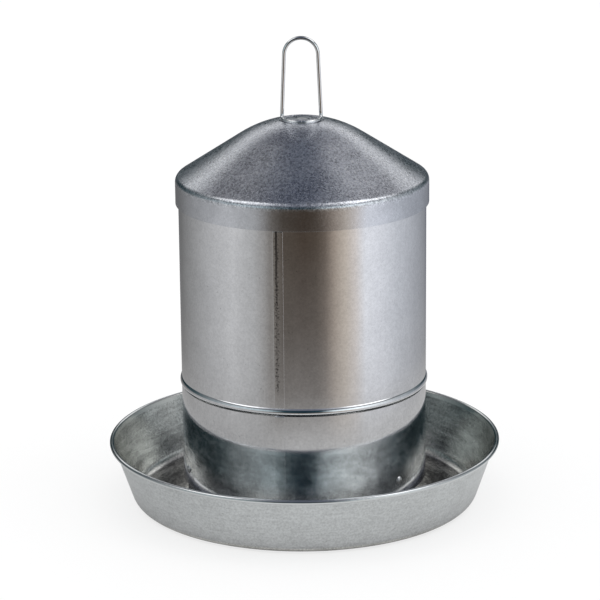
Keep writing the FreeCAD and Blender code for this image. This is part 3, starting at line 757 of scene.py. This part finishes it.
class FOUNT_OT_pan(bpy.types.Operator):
    """Drinking pan, its rolled rim and the wire inside it"""
    bl_idname = "fount.pan"
    bl_label = "Pan"

    def execute(self, context):
        pan = turned("drinking_pan", pan_outline(), closed=False)
        hand_over(pan, "base", "pan", "dull_zinc")
        wire = turned("rim_wire", arc(pan_roll_centre(), sizes("pan").wire,
                                      0.0, 336.0, 24.0))
        hand_over(wire, "base", "pan_rim_wire", "wire_zinc", 60.0)
        return {"FINISHED"}


# ---------------------------------------------------------------- tank

class FOUNT_OT_tank(bpy.types.Operator):
    """Inner tank with its foot, wired top edge, outlets and solder run"""
    bl_idname = "fount.tank"
    bl_label = "Tank"

    def execute(self, context):
        tank = sizes("tank")
        pins = sizes("pins")
        sheet = sizes("sheet").thickness
        inside = tank.radius - sheet
        centre = (tank.radius + tank.roll, TANK_TOP - tank.roll - sheet)
        edge = curl(centre, tank.roll, sheet, 0.0, math.degrees(tank.curl))
        outline = [(tank.radius - tank.foot, sheet), (tank.radius, sheet)]
        outline += line(outline[-1], edge[0], 12) + edge[1:]
        outline += line(edge[-1], (inside, 2.0 * sheet), 12)
        outline += [(tank.radius - tank.foot, 2.0 * sheet)]
        wall = turned("inner_tank", outline)
        break_edges(wall)
        drill(wall, OUTLET_ANGLES, tank.outlet, tank.outlet_height, inside, tank.radius)
        rivets = [angle + side * math.degrees(pins.rivet_spread)
                  for angle in KEEPER_ANGLES for side in (-1, 1)]
        drill(wall, rivets, pins.rivet, pins.rivet_height, inside, tank.radius)
        hand_over(wall, "base", "tank_wall", "plain_zinc")
        wire = turned("tank_edge_wire", arc(centre, tank.wire, 0.0, 330.0, 30.0))
        hand_over(wire, "base", "tank_rim_wire", "wire_zinc", 60.0)
        corner = (inside - tank.solder, 2.0 * sheet)
        run = turned("tank_solder_run", [(inside, 2.0 * sheet)]
                     + arc((corner[0], corner[1] + tank.solder), tank.solder, 0.0, -90.0, 15.0))
        hand_over(run, "base", "tank_seal", "dull_solder")
        return {"FINISHED"}


# ---------------------------------------------------------------- pins and rivets

def headed(name, inner, seat, shank, head, rise, tail=None, segments=32):
    """A round pin along +X from inner to its crown, which rises above its seat. tail is a
    second head's (radius, thickness) at the inner end."""
    dome, half_angle = crown(head, rise)
    outline = [(PIN_TIP, inner)]
    if tail:
        outline += [(tail[0], inner), (tail[0], inner + tail[1]), (shank, inner + tail[1])]
    else:
        outline += [(shank - PIN_CHAMFER, inner), (shank, inner + PIN_CHAMFER)]
    outline += [(shank, seat), (head, seat)]
    top = arc((0.0, seat + rise - dome), dome, 90.0 - half_angle, 90.0, 8.0)
    outline += [point for point in top if point[0] > PIN_BREAK]
    pin = turned(name, outline, closed=False, segments=segments)
    pin.matrix_world = Matrix.Rotation(math.pi / 2.0, 4, "Y")
    settle(pin)
    break_edges(pin, PIN_BREAK)
    return pin


class FOUNT_OT_pins(bpy.types.Operator):
    """Three headed pins through the shell wall, each with a sealing washer"""
    bl_idname = "fount.pins"
    bl_label = "Pins"

    def execute(self, context):
        pins = sizes("pins")
        shell = sizes("shell")
        made = []
        for number, angle in enumerate(KEEPER_ANGLES):
            pin = headed(f"pin_{number}", shell.radius - PIN_INSIDE, shell.radius, pins.pin,
                         pins.pin_head, pins.pin_crown)
            pin.location.z = PIN_HEIGHT
            settle(pin)
            around(pin, angle)
            made.append(pin)
        piece = joined("shell_pins", made)
        hand_over(piece, "shell", "keeper_pins", "pin_zinc", 40.0)
        return {"FINISHED"}


class FOUNT_OT_rivets(bpy.types.Operator):
    """Six rivets that hold the keepers to the tank"""
    bl_idname = "fount.rivets"
    bl_label = "Rivets"

    def execute(self, context):
        pins = sizes("pins")
        tank = sizes("tank")
        inside = tank.radius - sizes("sheet").thickness
        made = []
        for angle in KEEPER_ANGLES:
            for side in (-1, 1):
                rivet = headed(f"rivet_{len(made)}", inside - pins.rivet_crown,
                               tank.radius + pins.upstand, pins.rivet, pins.rivet_head,
                               pins.rivet_crown, (pins.rivet_head, pins.rivet_crown))
                rivet.location.z = pins.rivet_height
                settle(rivet)
                around(rivet, angle + side * math.degrees(pins.rivet_spread))
                made.append(rivet)
        piece = joined("keeper_rivet_set", made)
        hand_over(piece, "base", "keeper_rivets", "pin_zinc", 40.0)
        return {"FINISHED"}


# ---------------------------------------------------------------- shell wall

def wall_outline():
    """The wall's section: folded hem, straight wall, bead, straight wall to the top."""
    shell = sizes("shell")
    sheet = sizes("sheet").thickness
    inside = shell.radius - sheet
    low = WALL_FOOT
    half = shell.bead_tall / 2.0
    proud = shell.bead_proud
    bead, reach = crown(half, proud)
    outer = arc((inside, low + sheet), sheet, 180.0, 360.0, 15.0)
    foot = (shell.radius, low + shell.hem)
    below = (shell.radius, shell.bead_height - half - shell.crease)
    above = (shell.radius, shell.bead_height + half + shell.crease)
    swell = arc((shell.radius + proud - bead, shell.bead_height), bead, -reach, reach, 3.0)
    top = (shell.radius, SKIRT_FOOT - sheet)
    inner_swell = arc((inside + proud - bead, shell.bead_height), bead, reach, -reach, 3.0)
    outline = outer + [foot] + line(foot, below, 6) + swell + [above]
    outline += line(above, top, 12) + [(shell.radius, WALL_TOP), (inside, WALL_TOP)]
    outline += line((inside, WALL_TOP), inner_swell[0], 12) + inner_swell[1:]
    outline += line(inner_swell[-1], (inside, low + shell.hem), 6)
    outline += [(inside - sheet, low + shell.hem - sheet)]
    return outline


def raise_seam(wall):
    """Raise the strip of outer faces at the seam's angle, as a folded lock seam."""
    shell = sizes("shell")
    choose(wall)
    bpy.ops.object.mode_set(mode="EDIT")
    bpy.ops.mesh.select_mode(type="FACE")
    bpy.ops.mesh.select_all(action="DESELECT")
    bpy.ops.object.mode_set(mode="OBJECT")
    middle = Vector((math.cos(math.radians(SEAM_ANGLE)), math.sin(math.radians(SEAM_ANGLE)), 0.0))
    low = WALL_FOOT + shell.hem - SLACK
    high = SKIRT_FOOT - sizes("sheet").thickness + SLACK
    for face in wall.data.polygons:
        centre = face.center
        outward = Vector((centre.x, centre.y, 0.0))
        near = outward.angle(middle) < shell.seam_arc / 2.0
        facing = face.normal.dot(outward.normalized()) > 0.5
        lowest = min(wall.data.vertices[index].co.z for index in face.vertices)
        highest = max(wall.data.vertices[index].co.z for index in face.vertices)
        plain = abs(centre.z - shell.bead_height) > shell.bead_tall / 2.0 + shell.crease
        face.select = near and facing and plain and lowest >= low and highest <= high
    bpy.ops.object.mode_set(mode="EDIT")
    bpy.ops.mesh.extrude_region_shrink_fatten(
        TRANSFORM_OT_shrink_fatten={"value": shell.seam_proud})
    bpy.ops.mesh.select_mode(type="VERT")
    bpy.ops.object.mode_set(mode="OBJECT")


class FOUNT_OT_wall(bpy.types.Operator):
    """Shell wall with its hem, bead, lock seam and pin holes"""
    bl_idname = "fount.wall"
    bl_label = "Shell wall"

    def execute(self, context):
        radius = sizes("shell").radius
        wall = turned("shell_cylinder", wall_outline())
        raise_seam(wall)
        break_edges(wall)
        drill(wall, KEEPER_ANGLES, sizes("pins").pin, PIN_HEIGHT, radius, radius)
        hand_over(wall, "shell", "shell_wall", "bright_zinc")
        return {"FINISHED"}


# ---------------------------------------------------------------- roof

def roof_outline():
    """The roof's section: seat, dome, cone, shoulder and skirt, outside then inside."""
    roof = sizes("roof")
    sheet = sizes("sheet").thickness
    slope = math.degrees(roof.slope)
    dome_y = roof.apex - roof.dome
    end = (roof.dome * math.sin(roof.slope), dome_y + roof.dome * math.cos(roof.slope))
    shoulder_x = roof.skirt - roof.shoulder
    cone_x = shoulder_x + roof.shoulder * math.sin(roof.slope)
    cone_y = end[1] - (cone_x - end[0]) * math.tan(roof.slope)
    shoulder_y = cone_y - roof.shoulder * math.cos(roof.slope)
    rise_x = roof.seat + sheet
    start = 90.0 - math.degrees(math.asin(rise_x / roof.dome))
    inner_start = 90.0 - math.degrees(math.asin(rise_x / (roof.dome - sheet)))
    outline = [(roof.rivet_hole, roof.seat_height)]
    outline += line(outline[0], (roof.seat, roof.seat_height), 3)
    outline += arc((0.0, dome_y), roof.dome, start, 90.0 - slope, 2.0)
    outline += line(end, (cone_x, cone_y), 10)
    outline += arc((shoulder_x, shoulder_y), roof.shoulder, 90.0 - slope, 0.0, 6.0)[1:]
    outline += line(outline[-1], (roof.skirt, SKIRT_FOOT), 5)
    outline += [(roof.skirt - sheet, SKIRT_FOOT)]
    outline += line(outline[-1], (roof.skirt - sheet, shoulder_y), 5)
    outline += arc((shoulder_x, shoulder_y), roof.shoulder - sheet, 0.0, 90.0 - slope, 6.0)[1:]
    inner = arc((0.0, dome_y), roof.dome - sheet, 90.0 - slope, inner_start, 2.0)
    outline += line(outline[-1], inner[0], 10) + inner[1:]
    outline += [(rise_x - 0.2 * MM, roof.seat_height - sheet),
                (roof.rivet_hole, roof.seat_height - sheet)]
    return outline


class FOUNT_OT_roof(bpy.types.Operator):
    """Roof with its pressed seat, dome, cone, shoulder and skirt"""
    bl_idname = "fount.roof"
    bl_label = "Roof"

    def execute(self, context):
        roof = turned("roof_cone", roof_outline())
        break_edges(roof)
        hand_over(roof, "shell", "roof", "grained_zinc")
        return {"FINISHED"}


# ---------------------------------------------------------------- apex cap

class FOUNT_OT_cap(bpy.types.Operator):
    """Cap over the apex and the rivet through it"""
    bl_idname = "fount.cap"
    bl_label = "Apex cap"

    def execute(self, context):
        bail = sizes("bail")
        sheet = sizes("sheet").thickness
        hole = CAP_SHANK
        radius = CAP_HIGH.x
        dome, half_angle = crown(radius, bail.cap_crown)
        top = CAP_LOW.z + sheet + bail.cap_crown
        inner = math.degrees(math.asin(hole / dome))
        outline = [(hole, CAP_LOW.z)] + line((hole, CAP_LOW.z), (radius, CAP_LOW.z), 4)
        outline += arc((0.0, top - dome), dome, 90.0 - half_angle, 90.0 - inner, 0.5)
        cap = turned("apex_cap", outline, segments=96)
        break_edges(cap)
        hand_over(cap, "apex_fastening", "roof_cap", "crystal_zinc")
        rise = bail.head_crown
        dome, half_angle = crown(bail.head, rise)
        outline = [(PIN_CHAMFER, SEAL_FOOT - rise), (bail.head, SEAL_FOOT - rise),
                   (bail.head, SEAL_FOOT), (hole, SEAL_FOOT), (hole, top), (bail.head, top)]
        head = arc((0.0, top + rise - dome), dome, 90.0 - half_angle, 90.0, 4.0)
        outline += [point for point in head if point[0] > PIN_TIP]
        rivet = turned("apex_rivet", outline, closed=False, segments=64)
        break_edges(rivet)
        hand_over(rivet, "apex_fastening", "cap_rivet", "pin_zinc", 40.0)
        return {"FINISHED"}


# ---------------------------------------------------------------- bail

# Points along the bail's foot, along each bend and leg, and round half the eye, and the rounds
# that settle where leg and eye meet.
FOOT_STEPS = 24
LEG_STEPS = 12
EYE_STEPS = 16
CORNER_ROUNDS = 8


def bail_points():
    """Points along the bail's centre line, from one butted end to the other."""
    bail = sizes("bail")
    roof = sizes("roof")
    foot_z = roof.seat_height + bail.wire
    eye_z = BAIL_TOP - bail.wire - bail.eye
    front = -math.pi / 2.0 + bail.end_gap / 2.0 / bail.foot
    finish = -math.pi / 2.0 + bail.foot_arc
    foot_end = Vector((bail.foot * math.cos(finish), bail.foot * math.sin(finish), foot_z))
    along = Vector((-math.sin(finish), math.cos(finish), 0.0))
    corner = foot_end.copy()
    for _ in range(CORNER_ROUNDS):
        span = Vector((corner.x, 0.0, corner.z - eye_z))
        lean = math.atan2(span.z, span.x) + math.acos(bail.eye / span.length)
        up = Vector((-math.sin(lean), 0.0, math.cos(lean)))
        bend = along.angle(up)
        corner = foot_end + along * bail.bend * math.tan(bend / 2.0)
    towards = (up - along).normalized()
    bend_centre = corner + towards * bail.bend / math.cos(bend / 2.0)
    half = []
    for number in range(FOOT_STEPS + 1):
        angle = front + (finish - front) * number / FOOT_STEPS
        half.append(Vector((bail.foot * math.cos(angle), bail.foot * math.sin(angle), foot_z)))
    start_arm = foot_end - bend_centre
    axis = start_arm.cross(along).normalized()
    for number in range(1, LEG_STEPS + 1):
        turn = Matrix.Rotation(bend * number / LEG_STEPS, 3, axis)
        half.append(bend_centre + turn @ start_arm)
    eye_side = Vector((bail.eye * math.cos(lean), corner.y, eye_z + bail.eye * math.sin(lean)))
    leg_foot = half[-1]
    for number in range(1, LEG_STEPS + 1):
        half.append(leg_foot.lerp(eye_side, number / LEG_STEPS))
    for number in range(1, EYE_STEPS + 1):
        angle = lean + (math.pi / 2.0 - lean) * number / EYE_STEPS
        half.append(Vector((bail.eye * math.cos(angle), corner.y,
                            eye_z + bail.eye * math.sin(angle))))
    other = [Vector((-point.x, point.y, point.z)) for point in reversed(half[:-1])]
    return half + other


class FOUNT_OT_bail(bpy.types.Operator):
    """Wire bail round the front of the cap"""
    bl_idname = "fount.bail"
    bl_label = "Bail"

    def execute(self, context):
        bail = sizes("bail")
        deselect()
        points = bail_points()
        curve = bpy.data.curves.new("bail_line", "CURVE")
        curve.dimensions = "3D"
        curve.bevel_depth = bail.wire
        curve.bevel_resolution = 8
        curve.use_fill_caps = True
        spline = curve.splines.new("POLY")
        spline.points.add(len(points) - 1)
        for point, place in zip(spline.points, points):
            point.co = (*place, 1.0)
        wire = bpy.data.objects.new("wire_bail", curve)
        context.scene.collection.objects.link(wire)
        choose(wire)
        bpy.ops.object.convert(target="MESH")
        wire = context.object
        bpy.ops.object.mode_set(mode="EDIT")
        bpy.ops.mesh.select_all(action="SELECT")
        bpy.ops.mesh.remove_doubles(threshold=WELD)
        bpy.ops.mesh.normals_make_consistent(inside=False)
        bpy.ops.object.mode_set(mode="OBJECT")
        hand_over(wire, "shell", "bail", "wire_zinc", 40.0)
        return {"FINISHED"}


# ---------------------------------------------------------------- nodes kept from the frame

KEPT_NODES = {
    "keeper_bracket_1": "plain_zinc",
    "keeper_bracket_2": "plain_zinc",
    "keeper_bracket_3": "plain_zinc",
    "keeper_solder": "dull_solder",
    "cap_seal": "black_rubber",
    "pin_washers": "black_rubber",
    "roof_solder": "dull_solder",
    "bail_solder": "dull_solder",
}


class FOUNT_OT_kept(bpy.types.Operator):
    """Finishes for the frame's own brackets, seals and solder"""
    bl_idname = "fount.kept"
    bl_label = "Brackets, seals and solder"

    def execute(self, context):
        for name, finish in KEPT_NODES.items():
            coat(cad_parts[name], finish)
        return {"FINISHED"}


# ---------------------------------------------------------------- stage

# The studio's light in rings of one height each. A stop is degrees round from the front
# towards +X, and the light's colour there.
LOW_RING = (
    (-180.0, (0.14, 0.14, 0.15)),
    (-154.0, (0.16, 0.16, 0.16)),
    (-126.0, (0.29, 0.29, 0.29)),
    (-93.0, (0.475, 0.475, 0.48)),
    (-69.0, (0.60, 0.60, 0.605)),
    (-47.0, (0.47, 0.47, 0.47)),
    (-36.0, (0.33, 0.32, 0.31)),
    (-27.0, (0.170, 0.152, 0.134)),
    (-18.0, (0.088, 0.072, 0.058)),
    (0.0, (0.066, 0.049, 0.037)),
    (12.0, (0.080, 0.062, 0.048)),
    (20.0, (0.145, 0.116, 0.094)),
    (29.0, (0.36, 0.30, 0.25)),
    (39.0, (0.57, 0.50, 0.43)),
    (49.0, (0.72, 0.665, 0.63)),
    (60.0, (0.84, 0.855, 0.90)),
    (72.0, (0.79, 0.805, 0.855)),
    (96.0, (0.60, 0.62, 0.665)),
    (130.0, (0.385, 0.40, 0.435)),
    (158.0, (0.25, 0.26, 0.285)),
    (172.0, (0.12, 0.12, 0.16)),
)

MIDDLE_RING = (
    (-180.0, (0.016, 0.032, 0.038)),
    (-145.0, (0.010, 0.026, 0.032)),
    (-120.0, (0.050, 0.078, 0.088)),
    (-103.0, (0.15, 0.18, 0.19)),
    (-82.0, (0.34, 0.38, 0.395)),
    (-56.0, (0.56, 0.64, 0.67)),
    (-34.0, (0.44, 0.53, 0.56)),
    (-18.0, (0.014, 0.046, 0.064)),
    (0.0, (0.004, 0.024, 0.038)),
    (15.0, (0.014, 0.046, 0.064)),
    (29.0, (0.86, 0.96, 1.00)),
    (52.0, (1.20, 1.28, 1.31)),
    (68.0, (0.90, 0.95, 0.97)),
    (88.0, (0.56, 0.59, 0.61)),
    (108.0, (0.36, 0.39, 0.41)),
    (128.0, (0.13, 0.16, 0.175)),
    (145.0, (0.016, 0.036, 0.044)),
)

HIGH_RING = (
    (-180.0, (0.95, 0.95, 0.96)),
    (-148.0, (0.95, 0.95, 0.95)),
    (-137.0, (0.34, 0.35, 0.36)),
    (-124.0, (0.10, 0.12, 0.13)),
    (-95.0, (0.20, 0.21, 0.22)),
    (-60.0, (0.20, 0.21, 0.22)),
    (-30.0, (0.07, 0.08, 0.095)),
    (0.0, (0.026, 0.038, 0.058)),
    (30.0, (0.08, 0.09, 0.11)),
    (60.0, (0.26, 0.27, 0.29)),
    (95.0, (0.24, 0.25, 0.26)),
    (124.0, (0.11, 0.13, 0.14)),
    (137.0, (0.36, 0.37, 0.38)),
    (148.0, (1.00, 1.00, 1.01)),
)

TOP_RING = (
    (-180.0, (0.10, 0.11, 0.14)),
    (-134.0, (0.13, 0.13, 0.145)),
    (-110.0, (0.30, 0.30, 0.31)),
    (-90.0, (1.60, 1.60, 1.60)),
    (-62.0, (1.50, 1.50, 1.52)),
    (-42.0, (0.40, 0.41, 0.44)),
    (-16.0, (0.17, 0.18, 0.22)),
    (0.0, (0.16, 0.17, 0.21)),
    (16.0, (0.17, 0.18, 0.22)),
    (42.0, (0.50, 0.51, 0.54)),
    (62.0, (1.80, 1.80, 1.82)),
    (90.0, (2.10, 2.10, 2.12)),
    (110.0, (0.46, 0.46, 0.48)),
    (134.0, (0.27, 0.27, 0.29)),
)

ZENITH = (0.060, 0.072, 0.105)

# Where one ring gives way to the next, in degrees above the horizon.
RISES = (
    (-10.0, 2.0, MIDDLE_RING),
    (19.0, 25.0, HIGH_RING),
    (33.0, 40.0, TOP_RING),
)
ZENITH_RISE = (64.0, 76.0)

# The lit table round the pan: metres from the axis, and the light that it gives.
TABLE_LIGHT = (
    (0.122, (0.06, 0.06, 0.06)),
    (0.150, (0.60, 0.60, 0.60)),
    (0.174, (0.78, 0.785, 0.785)),
    (0.250, (0.74, 0.745, 0.745)),
    (0.310, (0.50, 0.495, 0.49)),
    (0.450, (0.46, 0.45, 0.44)),
)
TABLE_COVER = (
    (0.0, 1.0),
    (0.300, 1.0),
    (0.350, 0.80),
    (0.467, 0.33),
    (0.680, 0.13),
    (1.050, 0.0),
)
TABLE_REACH = 1.2


def make_light(scene):
    """Studio light. Only reflections see its rings: bright at the sides, dark where the camera
    stands. The camera and the diffuse light see plain white."""
    world = bpy.data.worlds.new("studio_light")
    world.use_nodes = True
    scene.world = world
    light = Finish("studio_light", world.node_tree)
    direction = light.wire(light.node("ShaderNodeTexCoord"), "Generated")
    x, y, z = light.parts(direction)
    turn = x.math("ARCTAN2", y * -1.0) / FULL_TURN + 0.5
    rise = z.math("ARCSINE") * (180.0 / math.pi)
    colour = light.ring(turn, LOW_RING)
    for low, high, stops in RISES:
        colour = light.blend(light.between(rise, low, high), colour, light.ring(turn, stops))
    colour = light.blend(light.between(rise, *ZENITH_RISE), colour, ZENITH)
    path = light.node("ShaderNodeLightPath")
    seen = light.wire(path, "Is Camera Ray").math("MAXIMUM", light.wire(path, "Is Diffuse Ray"))
    colour = light.blend(seen, colour, (1.0, 1.0, 1.0))
    background = light.node("ShaderNodeBackground", {}, {"Color": colour, "Strength": 1.0})
    light.node("ShaderNodeOutputWorld", {}, {"Surface": light.wire(background)})


def make_table():
    """The lit table as the metal reflects it: bright near the pan and gone further out."""
    deselect()
    bpy.ops.mesh.primitive_circle_add(vertices=96, radius=TABLE_REACH, fill_type="NGON",
                                      location=(0.0, 0.0, -0.0004))
    table = bpy.context.object
    table.name = "table_glow"
    settle(table)
    finish = Finish("table_glow")
    here = finish.wire(finish.node("ShaderNodeTexCoord"), "Object")
    x, y = finish.parts(here)[:2]
    out = ((x * x + y * y) ** 0.5) / TABLE_REACH
    dimmer = 1.0 - finish.between(x, -0.02, -0.20) * 0.22
    light = [(radius / TABLE_REACH, colour) for radius, colour in TABLE_LIGHT]
    cover = [(radius / TABLE_REACH, (value, value, value)) for radius, value in TABLE_COVER]
    glow = finish.node("ShaderNodeEmission", {}, {
        "Color": finish.ramp(out, light), "Strength": dimmer})
    clear = finish.node("ShaderNodeBsdfTransparent")
    shader = finish.node("ShaderNodeMixShader", {}, {
        0: finish.ramp(out, cover), 1: finish.wire(clear), 2: finish.wire(glow)})
    finish.node("ShaderNodeOutputMaterial", {}, {"Surface": finish.wire(shader)})
    table.data.materials.append(finish.material)
    table.visible_camera = False
    table.visible_diffuse = False
    table.visible_shadow = False


def make_floor(stage):
    """Plain pale floor, left out of reflections, which show the studio light instead."""
    deselect()
    bpy.ops.mesh.primitive_plane_add(size=stage.floor_span, location=(0.0, 0.0, -0.0002))
    floor = bpy.context.object
    floor.name = "floor"
    settle(floor)
    finish = Finish("pale_floor")
    shader = finish.node("ShaderNodeBsdfPrincipled", {}, {
        "Base Color": (0.30, 0.30, 0.30, 1.0), "Roughness": 1.0, "Specular IOR Level": 0.0,
        "Emission Color": (1.0, 1.0, 1.0, 1.0), "Emission Strength": 0.72})
    finish.node("ShaderNodeOutputMaterial", {}, {"Surface": finish.wire(shader)})
    floor.data.materials.append(finish.material)
    floor.visible_glossy = False


def make_camera(scene, stage):
    """Camera in front of the fount, looking down at it a little."""
    data = bpy.data.cameras.new("camera")
    data.lens = stage.lens
    data.sensor_width = 36.0
    data.clip_end = 50.0
    camera = bpy.data.objects.new("camera", data)
    scene.collection.objects.link(camera)
    place = Matrix.Translation((stage.camera_side, -stage.camera_back, stage.camera_height))
    look = Matrix.Rotation(math.pi / 2.0 - stage.pitch, 4, "X")
    camera.matrix_world = place @ look @ Matrix.Rotation(-stage.roll, 4, "Z")
    scene.camera = camera


class FOUNT_OT_stage(bpy.types.Operator):
    """Floor, light and camera"""
    bl_idname = "fount.stage"
    bl_label = "Stage"

    def execute(self, context):
        scene = context.scene
        scene.view_settings.view_transform = "Standard"
        make_light(scene)
        make_floor(sizes("stage"))
        make_table()
        make_camera(scene, sizes("stage"))
        return {"FINISHED"}


# ---------------------------------------------------------------- panel and registration

OPERATORS = (FOUNT_OT_pan, FOUNT_OT_tank, FOUNT_OT_rivets, FOUNT_OT_wall, FOUNT_OT_pins,
             FOUNT_OT_roof, FOUNT_OT_cap, FOUNT_OT_bail, FOUNT_OT_kept, FOUNT_OT_stage)

SETTINGS = {
    "fount_sheet": FountSheetSettings,
    "fount_pan": FountPanSettings,
    "fount_tank": FountTankSettings,
    "fount_shell": FountShellSettings,
    "fount_pins": FountPinSettings,
    "fount_roof": FountRoofSettings,
    "fount_bail": FountBailSettings,
    "fount_finish": FountFinishSettings,
    "fount_stage": FountStageSettings,
}


class FOUNT_PT_pieces(bpy.types.Panel):
    """Lists the fount's pieces and their sizes"""
    bl_idname = "FOUNT_PT_pieces"
    bl_label = "Poultry waterer fount"
    bl_space_type = "VIEW_3D"
    bl_region_type = "UI"
    bl_category = "Fount"

    def draw(self, context):
        for operator in OPERATORS:
            self.layout.operator(operator.bl_idname)
        for name, group in SETTINGS.items():
            box = self.layout.box()
            box.label(text=group.__doc__)
            for field in group.__annotations__:
                box.prop(getattr(context.scene, name), field)


def register():
    for group in (*SETTINGS.values(), *OPERATORS, FOUNT_PT_pieces):
        bpy.utils.register_class(group)
    for name, group in SETTINGS.items():
        setattr(bpy.types.Scene, name, PointerProperty(type=group))


def unregister():
    for name in SETTINGS:
        delattr(bpy.types.Scene, name)
    for group in reversed((*SETTINGS.values(), *OPERATORS, FOUNT_PT_pieces)):
        bpy.utils.unregister_class(group)


def main():
    register()
    for operator in OPERATORS:
        group, name = operator.bl_idname.split(".")
        getattr(getattr(bpy.ops, group), name)()


if __name__ == "__main__":
    main()
